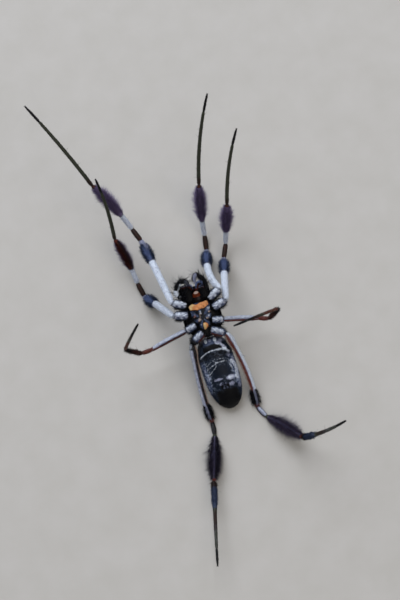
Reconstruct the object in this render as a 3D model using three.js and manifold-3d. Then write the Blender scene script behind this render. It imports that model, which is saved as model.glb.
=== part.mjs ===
// A female golden silk orb weaver, life size, as she hangs under her web with her belly to the light.
// The model lies on its back: on the knees of four legs and on the rear of the abdomen's back.
// Millimetres. +Z is up, out of the belly. +Y runs towards the head. +X is the spider's left.

import * as THREE from "three";
import { mergeVertices } from "three/addons/utils/BufferGeometryUtils.js";
import Module from "manifold-3d";

const wasm = await Module();
wasm.setup();

// ---------- driving dimensions ----------

// The trunk's own frame has its origin in the middle of the breastplate, +z out of the belly.
const BREASTPLATE_PLACE = new THREE.Vector3(0.42, -0.54, 12.7);
const HEAD_UP = degrees(17);

const JOINT_GAP = 0.03;

// Lengths of one leg's segments, from the body outwards; the coxa is measured with its trochanter.
const SEGMENTS = {
  1: { femur: 17.6, patella: 3.1, tibia: 12.8, metatarsus: 17.2, tarsus: 4.2 },
  2: { femur: 15.5, patella: 3.1, tibia: 10.6, metatarsus: 13.8, tarsus: 3.7 },
  3: { femur: 8.4, patella: 2.0, tibia: 5.3, metatarsus: 7.0, tarsus: 3.0 },
  4: { femur: 17.3, patella: 2.6, tibia: 10.2, metatarsus: 14.0, tarsus: 3.6 },
};

// Where a left leg leaves the breastplate, and where its femur starts, in the trunk's frame.
const SOCKETS = {
  1: { root: [2.05, 2.75, -0.55], hip: [4.95, 4.15, -1.4] },
  2: { root: [2.3, 0.75, -0.6], hip: [5.5, 1.7, -1.4] },
  3: { root: [1.35, -1.3, -0.6], hip: [3.95, -1.95, -1.4] },
  4: { root: [0.6, -2.9, -0.6], hip: [3.5, -4.7, -1.4] },
};

// The pose of each leg over the floor, in degrees and millimetres. A bearing turns from the head
// (+Y) towards the spider's left (+X), a rise lifts off the floor, and a sweep or an arch is the
// change of bearing or rise along a bowed segment. A knee's height sets how far its femur falls.
const REST = 0.3;
const FEMUR_ARCH = 14;
const POSES = {
  right_1: {
    leg: 1, knee: 7, femur: [-8, -3], patella: [-20, 8],
    tibia: [-30, 39, -16], foot: [-26, 33, -6, -11],
  },
  left_1: {
    leg: 1, knee: REST, femur: [-1, 37], patella: [10, 17],
    tibia: [15, 54, 12], foot: [30, 50, 23, 3],
  },
  right_2: {
    leg: 2, knee: REST, femur: [-26, -6], patella: [-11, 20],
    tibia: [-11, 35, -16], foot: [3, 63, -25, -13],
  },
  left_2: {
    leg: 2, knee: 1.8, femur: [11, 4], patella: [25, 5],
    tibia: [27, 59, 6], foot: [31, 47, 23, 0],
  },
  right_3: {
    leg: 3, knee: 7.8, femur: [-95, -10], patella: [-93, -1],
    tibia: [-81, 57, 1], foot: [70, 63, 3, -4],
  },
  left_3: {
    leg: 3, knee: 5.9, femur: [94, 12], patella: [112, -2],
    tibia: [89, 64, 0], foot: [-99, 16, 0, -10],
  },
  right_4: {
    leg: 4, knee: REST, femur: [-176, -14], patella: [-175, 5],
    tibia: [-163, 11, 1], foot: [-166, 6, -2, 0],
  },
  left_4: {
    leg: 4, knee: REST, femur: [173, 27], patella: [155, 3],
    tibia: [143, 25, 9], foot: [109, 59, -28, -3],
  },
};
const PATH_STEP = 0.1;
const BEND_LENGTH = 1.6;

// Thickness of each segment, out to the tips of its hairs: [share of its length, radius]. The wide
// stretches are the black bottle-brush tufts of legs 1, 2 and 4.
const COXA = [[0, 0.6], [0.12, 0.9], [0.4, 1.05], [0.8, 1.0], [0.9, 0.75], [1, 0.6]];
const LONG_FEMUR = [
  [0, 0.55], [0.1, 0.74], [0.6, 0.78], [0.68, 0.76], [0.76, 1.2], [0.92, 1.2], [1, 0.65],
];
const REAR_FEMUR = [
  [0, 0.6], [0.07, 0.95], [0.15, 0.92], [0.3, 0.76], [0.73, 0.64], [0.81, 1.05], [0.94, 1.05], [1, 0.62],
];
const PLAIN_FEMUR = [[0, 0.46], [0.15, 0.6], [0.8, 0.56], [1, 0.48]];
const PATELLA = [[0, 0.5], [0.5, 0.58], [1, 0.48]];
const BANDED_TIBIA = [[0.04, 0.55], [0.28, 0.58], [0.4, 1.25], [0.7, 1.4], [0.9, 1.15], [0.98, 0.55], [1, 0.42]];
const BRUSH_TIBIA = [[0.04, 0.5], [0.12, 0.85], [0.3, 1.5], [0.6, 1.65], [0.82, 1.4], [0.96, 0.7], [1, 0.45]];
const PLAIN_TIBIA = [[0.04, 0.52], [0.5, 0.68], [1, 0.48]];
const FOOT = [[0, 0.4], [0.1, 0.44], [0.5, 0.4], [0.78, 0.32], [0.82, 0.3], [0.97, 0.26], [1, 0.2]];
const REAR_FOOT = [[0, 0.45], [0.1, 0.58], [0.4, 0.5], [0.6, 0.36], [0.82, 0.3], [0.97, 0.26], [1, 0.2]];
const LEG_COATS = {
  1: { femur: LONG_FEMUR, tibia: BANDED_TIBIA, foot: FOOT },
  2: { femur: LONG_FEMUR, tibia: BANDED_TIBIA, foot: FOOT },
  3: { femur: PLAIN_FEMUR, tibia: PLAIN_TIBIA, foot: FOOT },
  4: { femur: REAR_FEMUR, tibia: BRUSH_TIBIA, foot: REAR_FOOT },
};

// The trunk's pieces, in the trunk's frame: +y towards the head, +z out of the belly.
const CARAPACE = { rear: -4.4, front: 6.2, level: -1.85, belly: 0.35 };
const THORAX = { middle: -0.5, half: 3.95, width: 3.95, height: 2.5 };
const CEPHALON = { middle: 2.9, half: 3.35, width: 2.55, height: 3.5 };
const STERNUM = { rear: -2.9, front: 2.85, level: -0.45, width: 2.15, belly: 0.55, back: 1.0 };
const LABIUM = { rear: 2.92, front: 5.2, level: -0.1, width: 0.8, belly: 0.35, back: 0.5 };
const MAXILLA = { rear: 3.1, level: -0.35, aside: 1.62, width: 1.45, belly: 0.6, back: 0.8 };
const MAXILLA_FRONTS = { right: 6.75, left: 6.15 }; // her right one is swung a little further out
const MOUTH_SHIFT = 0.2; // the jaws and lip are turned a little to her left
const PEDICEL = { front: -4.15, rear: -4.85, level: -2.5, radius: 0.5 };
const ABDOMEN = {
  front: -4.5, rear: -19.65, frontLevel: -3.0, rearLevel: -6.6, frontAside: 0.1, rearAside: 0.28,
};
const ABDOMEN_HALF = { width: 3.65, belly: 2.6, back: 3.2 };
const SPINNERETS_ALONG = 0.68;

// A left palp arches out from the mouth and hooks in again; the two are posed a little apart.
const PALPS = {
  left: [
    [2.3, 4.65, -0.45], [2.5, 5.4, -0.1], [2.62, 6.25, 0.3], [2.55, 6.75, 0.5], [2.2, 7.28, 0.7],
    [1.85, 7.72, 0.9], [1.6, 8.08, 1.0], [1.22, 8.2, 1.1], [0.86, 7.9, 1.15], [0.66, 7.35, 1.1],
    [0.58, 6.75, 1.0],
  ],
  right: [
    [2.31, 4.65, -0.45], [3.04, 4.98, -0.3], [3.48, 5.44, -0.12], [3.56, 5.99, 0.0], [3.33, 6.59, 0.15],
    [2.89, 7.2, 0.35], [2.3, 7.73, 0.6], [1.63, 7.81, 0.85], [1.01, 7.45, 1.05], [0.63, 6.78, 1.15],
  ],
};
const PALP_COAT = [
  [0, 0.34], [0.06, 0.52], [0.3, 0.52], [0.36, 0.48], [0.5, 0.54], [0.7, 0.52], [0.9, 0.46], [1, 0.2],
];

const CHELICERA = [[1.15, 4.4, -2.5], [1.2, 5.6, -1.9], [1.25, 6.3, -0.35]];
const CHELICERA_COAT = [[0, 0.5], [0.15, 0.88], [0.5, 1.08], [0.85, 1.0], [0.95, 0.7], [1, 0.35]];
const FANG = [[1.0, 6.3, -0.1], [0.75, 5.95, 0.4], [0.45, 5.3, 0.5]];
const FANG_TAPER = [[0, 0.26], [0.5, 0.2], [1, 0.08]];

// Eight small eyes in two rows of four: how far aside and forward each left one sits on the head.
const EYE_RADIUS = 0.19;
const EYES = {
  front_inner: [0.4, 5.8],
  front_outer: [1.55, 5.1],
  rear_inner: [0.44, 5.25],
  rear_outer: [1.8, 4.65],
};

const LEG_SIDES = 8;
const STERNUM_SIDES = 16;
const TRUNK_SIDES = 20;
const TRUNK_STEPS = 13;
const LONGEST_RING = 2.7;

// ---------- colours ----------

const COLOURS = {
  black: ["#1b1a1f", 0.45],
  dark_tuft: ["#191a26", 0.8],
  white_hair: ["#c9ccd8", 0.75],
  silver: ["#a9a7ae", 0.7],
  orange: ["#d98a3c", 0.55],
  amber: ["#8a3d12", 0.4],
  abdomen: ["#23262e", 0.6],
  foot: ["#3d3b30", 0.65],
  eye: ["#0a0a0c", 0.1],
};

function finish(name) {
  const [color, roughness] = COLOURS[name];
  return new THREE.MeshStandardMaterial({ color, roughness, metalness: 0 });
}

// ---------- shapes ----------

function degrees(angle) {
  return THREE.MathUtils.degToRad(angle);
}

// The value at a share of the way along a list of [share, value] pairs.
function along(pairs, share) {
  const next = pairs.findIndex(([at]) => at >= share);
  if (next <= 0) return pairs[next === 0 ? 0 : pairs.length - 1][1];
  const [from, low] = pairs[next - 1];
  const [to, high] = pairs[next];
  return THREE.MathUtils.mapLinear(share, from, to, low, high);
}

// A closed solid that follows a curve. At each station, a share of the curve's length, the ring of
// corners is given by section(share, angle), which returns how far it lies aside and up.
function loft(curve, stations, section, sides, up) {
  const profile = [new THREE.Vector2(0, stations[0])];
  stations.forEach((share) => profile.push(new THREE.Vector2(1, share)));
  profile.push(new THREE.Vector2(0, stations.at(-1)));
  const shape = new THREE.LatheGeometry(profile, sides);
  shape.deleteAttribute("normal");
  shape.deleteAttribute("uv");
  const corners = shape.attributes.position;
  const place = new THREE.Vector3();
  for (let i = 0; i < corners.count; i += 1) {
    place.fromBufferAttribute(corners, i);
    const share = place.y;
    const angle = Math.atan2(place.z, place.x);
    const forward = curve.getTangentAt(share);
    const aside = new THREE.Vector3().crossVectors(forward, up).normalize();
    const over = new THREE.Vector3().crossVectors(aside, forward);
    const [x, z] = Math.hypot(place.x, place.z) < 0.5 ? [0, 0] : section(share, angle);
    place.copy(curve.getPointAt(share)).addScaledVector(aside, x).addScaledVector(over, z);
    corners.setXYZ(i, place.x, place.y, place.z);
  }
  return mergeVertices(shape, 1e-4);
}

// A round section whose radius follows a list of [share, radius] pairs between two shares.
function roundSection(pairs, from, to, grow) {
  return (share, angle) => {
    const radius = along(pairs, (share - from) / (to - from)) + grow;
    return [radius * Math.cos(angle), radius * Math.sin(angle)];
  };
}

// Shares of a curve at which a tube needs rings: at each pair of its profile, and in long stretches.
function ringsFor(pairs, from, to, length) {
  const shares = [];
  pairs.forEach(([share], i) => {
    const here = THREE.MathUtils.lerp(from, to, share);
    if (i > 0) {
      const last = shares.at(-1);
      const extra = Math.ceil(((here - last) * length) / LONGEST_RING);
      for (let k = 1; k < extra; k += 1) shares.push(THREE.MathUtils.lerp(last, here, k / extra));
    }
    shares.push(here);
  });
  return shares;
}

// A pod along +y: an oval body whose half width, belly height and back height change along it.
function pod(line, half, sides, steps, grow = 0) {
  const { rear, front, rearLevel, frontLevel, rearAside = 0, frontAside = 0 } = line;
  const axis = new THREE.LineCurve3(
    new THREE.Vector3(rearAside, rear - grow, rearLevel),
    new THREE.Vector3(frontAside, front + grow, frontLevel),
  );
  const stations = [];
  for (let i = 0; i <= steps; i += 1) {
    const turn = THREE.MathUtils.lerp(0.07, Math.PI - 0.07, i / steps);
    stations.push((1 - Math.cos(turn)) / 2);
  }
  stations[0] = 0;
  stations[steps] = 1;
  const section = (share, angle) => {
    const { width, belly, back } = half(share);
    const over = Math.sin(angle);
    return [(width + grow) * Math.cos(angle), ((over > 0 ? belly : back) + grow) * over];
  };
  return loft(axis, stations, section, sides, new THREE.Vector3(0, 0, 1));
}

// How full a rounded body is at a share of its length; a higher power makes blunter ends.
function fullness(share, rearPower, frontPower) {
  const offset = Math.abs(2 * share - 1);
  const power = share < 0.5 ? rearPower : frontPower;
  return Math.sqrt(Math.max(1 - offset ** power, 0.012));
}

function curveThrough(points, side = 1, shift = 0) {
  return new THREE.CatmullRomCurve3(points.map(([x, y, z]) => new THREE.Vector3(side * x + shift, y, z)));
}

// A tapering tube along a short curve in the trunk's frame.
function horn(curve, pairs, sides, grow = 0) {
  const length = curve.getLength();
  return loft(
    curve,
    ringsFor(pairs, 0, 1, length * 2),
    roundSection(pairs, 0, 1, grow),
    sides,
    new THREE.Vector3(0, 0.3, 1).normalize(),
  );
}

// ---------- joins and cuts ----------

function solidOf(geometry) {
  return new wasm.Manifold(
    new wasm.Mesh({
      numProp: 3,
      vertProperties: new Float32Array(geometry.attributes.position.array),
      triVerts: new Uint32Array(geometry.index.array),
    }),
  );
}

function geometryOf(solid) {
  const { vertProperties, triVerts } = solid.getMesh();
  const geometry = new THREE.BufferGeometry();
  geometry.setAttribute("position", new THREE.BufferAttribute(vertProperties, 3));
  geometry.setIndex(new THREE.BufferAttribute(triVerts, 1));
  return geometry;
}

function without(geometry, cutters) {
  const cut = cutters.reduce((left, cutter) => left.subtract(solidOf(cutter)), solidOf(geometry));
  return geometryOf(cut);
}

function joined(geometries) {
  const [first, ...rest] = geometries.map(solidOf);
  return geometryOf(rest.reduce((sum, piece) => sum.add(piece), first));
}

// Everything under the floor.
function underFloor() {
  const side = 120;
  const slab = new THREE.BoxGeometry(side, side, side).translate(0, 0, -side / 2);
  slab.deleteAttribute("normal");
  slab.deleteAttribute("uv");
  return mergeVertices(slab);
}

// ---------- the frames ----------

const spider = new THREE.Group();
const trunk = new THREE.Group();
trunk.position.copy(BREASTPLATE_PLACE);
trunk.rotation.x = HEAD_UP;
spider.add(trunk);
spider.updateMatrixWorld(true);

function intoTrunk(geometry) {
  return geometry.clone().applyMatrix4(trunk.matrixWorld.clone().invert());
}

function add(group, name, geometry, material) {
  const mesh = new THREE.Mesh(geometry, material);
  mesh.name = name;
  group.add(mesh);
}

// ---------- the legs ----------

function heading(bearing, rise) {
  const level = Math.cos(degrees(rise));
  return new THREE.Vector3(
    level * Math.sin(degrees(bearing)),
    level * Math.cos(degrees(bearing)),
    Math.sin(degrees(rise)),
  );
}

// The middle line of one leg, from its root to the tip of its foot. Each segment keeps its own
// heading, and the joints between them are rounded by averaging the heading over a short length.
function legPath({ leg, knee, femur, patella, tibia, foot }, side) {
  const size = SEGMENTS[leg];
  const [root, hip] = ["root", "hip"].map((end) => {
    const [x, y, z] = SOCKETS[leg][end];
    return trunk.localToWorld(new THREE.Vector3(side * x, y, z));
  });
  const coxa = hip.clone().sub(root);
  const fall = -THREE.MathUtils.radToDeg(Math.asin((hip.z - knee) / size.femur));
  const stretches = [
    [coxa.length(), () => coxa.clone().normalize()],
    [size.femur, (u) => heading(femur[0] + femur[1] * u, fall + FEMUR_ARCH * u)],
    [size.patella, () => heading(...patella)],
    [size.tibia, (u) => heading(tibia[0] + tibia[2] * u, tibia[1])],
    [size.metatarsus + size.tarsus, (u) => heading(foot[0] + foot[2] * u, foot[1] + foot[3] * u)],
  ];
  const headings = [];
  const ends = [0];
  stretches.forEach(([length, headingAt]) => {
    const steps = Math.round(length / PATH_STEP);
    for (let i = 0; i < steps; i += 1) headings.push(headingAt((i + 0.5) / steps - 0.5));
    ends.push(headings.length);
  });
  const reach = Math.round(BEND_LENGTH / PATH_STEP / 2);
  const place = root.clone();
  const points = [root];
  headings.forEach((_, i) => {
    const near = headings.slice(Math.max(0, i - reach), i + reach + 1);
    const step = near.reduce((sum, one) => sum.add(one), new THREE.Vector3()).normalize();
    place.addScaledVector(step, PATH_STEP);
    if ((i + 1) % 4 === 0 || i + 1 === headings.length) points.push(place.clone());
  });
  const curve = new THREE.CatmullRomCurve3(points);
  curve.arcLengthDivisions = 800;
  return { curve, shares: ends.map((end) => end / headings.length) };
}

// One length of a leg between two shares of its path, standing off its neighbours by half a gap.
function legPiece({ curve }, from, to, coat, grow = 0) {
  const length = curve.getLength();
  const inset = (JOINT_GAP / 2 - grow) / length;
  const start = Math.max(from + inset, 0);
  const end = Math.min(to - inset, 1);
  return loft(
    curve,
    ringsFor(coat, start, end, length),
    roundSection(coat, start, end, grow),
    LEG_SIDES,
    new THREE.Vector3(0, 0, 1),
  );
}

// The patella and tibia as one coat, in shares of their common length.
function shinCoat(leg) {
  const { patella, tibia } = SEGMENTS[leg];
  const whole = patella + tibia;
  return [
    ...PATELLA.map(([share, radius]) => [(share * patella) / whole, radius]),
    ...LEG_COATS[leg].tibia.map(([share, radius]) => [(patella + share * tibia) / whole, radius]),
  ];
}

function legColours(leg) {
  if (leg <= 2) return { femur: "white_hair", tibia: "dark_tuft" };
  return leg === 3 ? { femur: "silver", tibia: "black" } : { femur: "silver", tibia: "dark_tuft" };
}

const legPaths = Object.entries(POSES).map(([name, pose]) => {
  const side = name.startsWith("left") ? 1 : -1;
  return { name, leg: pose.leg, ...legPath(pose, side) };
});

function addLeg(path) {
  const { name, leg, shares } = path;
  const colours = legColours(leg);
  const floor = underFloor();
  const pieces = {
    coxa: [legPiece(path, shares[0], shares[1], COXA), "white_hair"],
    femur: [legPiece(path, shares[1], shares[2], LEG_COATS[leg].femur), colours.femur],
    tibia: [legPiece(path, shares[2], shares[4], shinCoat(leg)), colours.tibia],
    foot: [legPiece(path, shares[4], shares[5], LEG_COATS[leg].foot), "foot"],
  };
  Object.entries(pieces).forEach(([piece, [geometry, colour]]) => {
    add(spider, `leg_${name}_${piece}`, without(geometry, [floor]), finish(colour));
  });
}

// The eight coxae, a gap larger, for the trunk's pieces to stand clear of.
function coxaeGrown() {
  return legPaths.map((path) => {
    const [root, hip] = path.shares;
    return intoTrunk(legPiece(path, root, hip, COXA, JOINT_GAP));
  });
}

// ---------- the prosoma ----------

// How high a rounded rise stands at a place along the body.
function rise({ middle, half }, at) {
  return Math.sqrt(Math.max(1 - ((at - middle) / half) ** 2, 0));
}

function carapaceHalf(share) {
  const at = THREE.MathUtils.lerp(CARAPACE.rear, CARAPACE.front, share);
  const thorax = rise(THORAX, at);
  const cephalon = rise(CEPHALON, at);
  const blend = (a, b) => (a ** 4 + b ** 4) ** 0.25;
  return {
    width: Math.max(blend(THORAX.width * thorax, CEPHALON.width * cephalon), 0.4),
    back: Math.max(blend(THORAX.height * thorax, CEPHALON.height * cephalon), 0.4),
    belly: CARAPACE.belly,
  };
}

function sternumHalf(share) {
  const taper = Math.sqrt(Math.min(1, 0.05 + 1.6 * share));
  const front = share > 0.86 ? 1 - 0.35 * ((share - 0.86) / 0.14) ** 2 : 1;
  const dome = 0.6 + 0.4 * fullness(share, 2, 2);
  return { width: STERNUM.width * taper * front, belly: STERNUM.belly * dome, back: STERNUM.back };
}

function plateHalf(plate, rearPower, frontPower) {
  return (share) => {
    const full = fullness(share, rearPower, frontPower);
    return { width: plate.width * full, belly: plate.belly * full, back: plate.back * full };
  };
}

function level(plate, aside = 0) {
  return { ...plate, rearLevel: plate.level, frontLevel: plate.level, rearAside: aside, frontAside: aside };
}

function eyeBall([x, y], side, grow = 0) {
  const { width, back } = carapaceHalf(THREE.MathUtils.inverseLerp(CARAPACE.rear, CARAPACE.front, y));
  const z = CARAPACE.level - back * Math.sqrt(1 - (x / width) ** 2);
  const ball = new THREE.SphereGeometry(EYE_RADIUS + grow, 8, 5).translate(side * x, y, z);
  ball.deleteAttribute("normal");
  ball.deleteAttribute("uv");
  return mergeVertices(ball, 1e-4);
}

const SIDES = { right: -1, left: 1 };

function addEyes() {
  Object.entries(EYES).forEach(([place, at]) => {
    Object.entries(SIDES).forEach(([name, side]) => {
      add(trunk, `eye_${name}_${place}`, eyeBall(at, side), finish("eye"));
    });
  });
}

function palp(name, grow = 0) {
  return horn(curveThrough(PALPS[name], SIDES[name]), PALP_COAT, 8, grow);
}

function labium(grow = 0) {
  return pod(level(LABIUM, MOUTH_SHIFT), plateHalf(LABIUM, 8, 2.4), 12, 6, grow);
}

function maxilla(name, grow = 0) {
  const plate = { ...MAXILLA, front: MAXILLA_FRONTS[name] };
  return pod(level(plate, SIDES[name] * plate.aside), plateHalf(plate, 4, 3), 10, 5, grow);
}

function chelicera(name, grow = 0) {
  return horn(curveThrough(CHELICERA, SIDES[name], MOUTH_SHIFT), CHELICERA_COAT, 12, grow);
}

function fang(name, grow = 0) {
  return horn(curveThrough(FANG, SIDES[name], MOUTH_SHIFT), FANG_TAPER, 6, grow);
}

function sternum(grow = 0) {
  return pod(level(STERNUM), sternumHalf, STERNUM_SIDES, 8, grow);
}

function carapace() {
  return pod(level(CARAPACE), carapaceHalf, TRUNK_SIDES, TRUNK_STEPS);
}

// Every piece gives way to the ones it carries, which are cut out of it a gap larger.
function addMouthparts(coxae) {
  add(trunk, "labium", without(labium(), coxae), finish("amber"));
  Object.keys(SIDES).forEach((name) => {
    const carried = [labium(JOINT_GAP), ...[chelicera, fang, palp].map((piece) => piece(name, JOINT_GAP))];
    add(trunk, `chelicera_${name}`, without(chelicera(name), [fang(name, JOINT_GAP)]), finish("black"));
    add(trunk, `fang_${name}`, fang(name), finish("amber"));
    add(trunk, `maxilla_${name}`, without(maxilla(name), [...carried, ...coxae]), finish("black"));
    add(trunk, `palp_${name}`, palp(name), finish("black"));
  });
}

function addProsoma() {
  const coxae = coxaeGrown();
  const sides = Object.keys(SIDES);
  const sockets = Object.values(EYES).flatMap((at) =>
    sides.map((name) => eyeBall(at, SIDES[name], JOINT_GAP)),
  );
  const mouth = sides.flatMap((name) => [chelicera(name, JOINT_GAP), maxilla(name, JOINT_GAP)]);
  const carried = [...coxae, ...sockets, ...mouth, sternum(JOINT_GAP), pedicel(JOINT_GAP)];
  add(trunk, "carapace", without(carapace(), carried), finish("silver"));
  add(trunk, "sternum", without(sternum(), coxae), finish("orange"));
  addMouthparts(coxae);
  addEyes();
}

// ---------- the abdomen ----------

function pedicel(grow = 0) {
  const half = () => ({ width: PEDICEL.radius, belly: PEDICEL.radius, back: PEDICEL.radius });
  return pod(level(PEDICEL), half, 10, 2, grow);
}

function abdomenHalf(share) {
  const full = fullness(share, 2.45, 5.2);
  const { width, belly, back } = ABDOMEN_HALF;
  return { width: width * full, belly: belly * full, back: back * full };
}

function abdomen(grow = 0) {
  return pod(ABDOMEN, abdomenHalf, TRUNK_SIDES, TRUNK_STEPS, grow);
}

// Three pairs of short finger-like spinnerets leaning together, and the low mound they stand on.
function spinnerets() {
  const y = THREE.MathUtils.lerp(ABDOMEN.front, ABDOMEN.rear, SPINNERETS_ALONG);
  const z = THREE.MathUtils.lerp(ABDOMEN.frontLevel, ABDOMEN.rearLevel, SPINNERETS_ALONG);
  const belly = z + abdomenHalf(1 - SPINNERETS_ALONG).belly;
  const mound = new THREE.SphereGeometry(0.95, 10, 6).scale(1, 1.05, 0.5).translate(0, 0, -0.15);
  const fingers = [[0.36, 0.42, 0.3], [0.24, 0, 0.2], [0.36, -0.42, 0.28]].flatMap(([x, along, radius]) =>
    Object.values(SIDES).map((side) =>
      new THREE.CylinderGeometry(radius * 0.5, radius, 1.1, 6)
        .rotateX(Math.PI / 2)
        .rotateY(-side * 0.2)
        .translate(side * x, along, 0.2),
    ),
  );
  const cluster = joined([mound, ...fingers].map((piece) => {
    piece.deleteAttribute("normal");
    piece.deleteAttribute("uv");
    return mergeVertices(piece, 1e-4);
  }));
  const x = THREE.MathUtils.lerp(ABDOMEN.frontAside, ABDOMEN.rearAside, SPINNERETS_ALONG);
  return cluster.translate(x, y, belly);
}

function addAbdomen() {
  add(trunk, "pedicel", pedicel(), finish("black"));
  add(trunk, "abdomen", without(abdomen(), [pedicel(JOINT_GAP), intoTrunk(underFloor())]), finish("abdomen"));
  add(trunk, "spinnerets", without(spinnerets(), [abdomen(JOINT_GAP)]), finish("black"));
}

legPaths.forEach(addLeg);
addProsoma();
addAbdomen();

export default spider;
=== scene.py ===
"""A life-size golden silk orb weaver, an adult female, lying on her back.

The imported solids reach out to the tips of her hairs. Here one skin lies inside the legs, palps,
waist and abdomen, smooth plates stand for the hard shell, and the coat grows on both. Shapes are
worked out in millimetres, in the frame of the solids: +z up out of the belly, +y towards the head,
+x towards her left.
"""

from types import SimpleNamespace

import bpy
import numpy as np
from mathutils import Matrix, kdtree


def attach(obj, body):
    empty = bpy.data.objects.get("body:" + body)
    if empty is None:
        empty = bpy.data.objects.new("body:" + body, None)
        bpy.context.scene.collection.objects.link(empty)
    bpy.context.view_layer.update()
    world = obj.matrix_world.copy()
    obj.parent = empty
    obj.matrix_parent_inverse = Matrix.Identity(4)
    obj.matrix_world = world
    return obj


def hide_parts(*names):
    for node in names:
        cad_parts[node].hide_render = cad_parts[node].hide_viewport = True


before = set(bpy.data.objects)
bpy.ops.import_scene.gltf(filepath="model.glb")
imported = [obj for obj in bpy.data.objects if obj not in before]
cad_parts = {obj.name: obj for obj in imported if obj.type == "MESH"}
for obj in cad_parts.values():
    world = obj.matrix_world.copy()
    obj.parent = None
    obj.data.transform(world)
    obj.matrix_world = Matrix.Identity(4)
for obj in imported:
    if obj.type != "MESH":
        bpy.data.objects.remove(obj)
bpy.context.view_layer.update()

MM = 0.001
SIDES = {"right": -1, "left": 1}

# ---------- the pose, as in the solids ----------

# The trunk's own frame has its origin in the middle of the breastplate, +z out of the belly.
BREASTPLATE_PLACE = np.array([0.42, -0.54, 12.7])
HEAD_UP = np.radians(17)

# Lengths of femur, patella, tibia, metatarsus and tarsus.
SEGMENTS = {
    1: (17.6, 3.1, 12.8, 17.2, 4.2),
    2: (15.5, 3.1, 10.6, 13.8, 3.7),
    3: (8.4, 2.0, 5.3, 7.0, 3.0),
    4: (17.3, 2.6, 10.2, 14.0, 3.6),
}

# Where a left leg leaves the breastplate, and where its femur starts, in the trunk's frame.
SOCKETS = {
    1: ((2.05, 2.75, -0.55), (4.95, 4.15, -1.4)),
    2: ((2.3, 0.75, -0.6), (5.5, 1.7, -1.4)),
    3: ((1.35, -1.3, -0.6), (3.95, -1.95, -1.4)),
    4: ((0.6, -2.9, -0.6), (3.5, -4.7, -1.4)),
}

# Knee height in millimetres, then degrees: the femur's bearing and sweep, the patella's bearing
# and rise, the tibia's bearing, rise and sweep, and the foot's bearing, rise, sweep and arch.
REST = 0.3
FEMUR_ARCH = 14
POSES = {
    "right_1": (7, (-8, -3), (-20, 8), (-30, 39, -16), (-26, 33, -6, -11)),
    "left_1": (REST, (-1, 37), (10, 17), (15, 54, 12), (30, 50, 23, 3)),
    "right_2": (REST, (-26, -6), (-11, 20), (-11, 35, -16), (3, 63, -25, -13)),
    "left_2": (1.8, (11, 4), (25, 5), (27, 59, 6), (31, 47, 23, 0)),
    "right_3": (7.8, (-95, -10), (-93, -1), (-81, 57, 1), (70, 63, 3, -4)),
    "left_3": (5.9, (94, 12), (112, -2), (89, 64, 0), (-99, 16, 0, -10)),
    "right_4": (REST, (-176, -14), (-175, 5), (-163, 11, 1), (-166, 6, -2, 0)),
    "left_4": (REST, (173, 27), (155, 3), (143, 25, 9), (109, 59, -28, -3)),
}
# The middle line of a leg is worked out in steps this long, and each joint bends over this length.
PATH_STEP = 0.1
BEND_LENGTH = 1.6

SEGMENT_NAMES = ("coxa", "femur", "patella", "tibia", "metatarsus", "tarsus")
COXA, FEMUR, PATELLA, TIBIA, METATARSUS, TARSUS = range(6)
# The coxa's outer part is the ring of the trochanter.
TROCHANTER_FROM = 0.87
# Bare radius of each segment of a first leg under its hairs: [share of its length, radius].
THICKNESS = {
    COXA: [[0, 0.5], [0.1, 0.84], [0.4, 1.0], [0.78, 0.97], [0.85, 0.86], [0.89, 0.6], [0.95, 0.64],
           [1, 0.48]],
    FEMUR: [[0, 0.46], [0.03, 0.56], [0.12, 0.67], [0.6, 0.7], [0.85, 0.62], [0.95, 0.54],
            [0.98, 0.54], [1, 0.38]],
    PATELLA: [[0, 0.38], [0.12, 0.5], [0.5, 0.53], [0.88, 0.48], [1, 0.35]],
    TIBIA: [[0, 0.35], [0.04, 0.48], [0.3, 0.5], [0.9, 0.44], [0.97, 0.43], [1, 0.3]],
    METATARSUS: [[0, 0.28], [0.03, 0.38], [0.2, 0.38], [0.5, 0.36], [0.9, 0.3], [0.98, 0.28], [1, 0.2]],
    TARSUS: [[0, 0.2], [0.06, 0.26], [0.7, 0.22], [0.95, 0.15], [1, 0.06]],
}
# How thick each segment of the other legs is beside that.
SLIMNESS = {
    1: (1, 1, 1, 1, 1, 1),
    2: (1, 1, 0.98, 0.98, 0.98, 1),
    3: (0.98, 0.8, 0.82, 0.8, 0.82, 0.95),
    4: (1, 0.94, 0.92, 0.96, 1, 1),
}


def profile(pairs, at):
    """A smooth value along [share, value] pairs, with no overshoot between them."""
    x, y = np.array(pairs, float).T
    step = np.diff(x)
    slope = np.diff(y) / step
    tangent = np.zeros_like(y)
    turns = slope[:-1] * slope[1:]
    both = slope[:-1] + slope[1:]
    tangent[1:-1] = np.where(turns > 0, 2 * turns / np.where(both == 0, 1, both), 0)
    at = np.clip(at, x[0], x[-1])
    i = np.clip(np.searchsorted(x, at) - 1, 0, len(x) - 2)
    t = (at - x[i]) / step[i]
    start = (1 + 2 * t) * (1 - t) ** 2 * y[i] + t * (1 - t) ** 2 * step[i] * tangent[i]
    return start + t * t * (3 - 2 * t) * y[i + 1] + t * t * (t - 1) * step[i] * tangent[i + 1]


def soft(value, low, high):
    """0 below low, 1 above high, and a smooth rise between them."""
    t = np.clip((value - low) / (high - low), 0, 1)
    return t * t * (3 - 2 * t)


def between(value, low, high, edge):
    """1 from low to high, fading to 0 across an edge at each."""
    return soft(value, low - edge, low + edge) * (1 - soft(value, high - edge, high + edge))


def spot(x, y, middle, half, edge=0.3):
    """1 inside an oval, fading to 0 across its edge."""
    away = np.hypot((x - middle[0]) / half[0], (y - middle[1]) / half[1])
    return 1 - soft(away, 1 - edge, 1 + edge)


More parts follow.
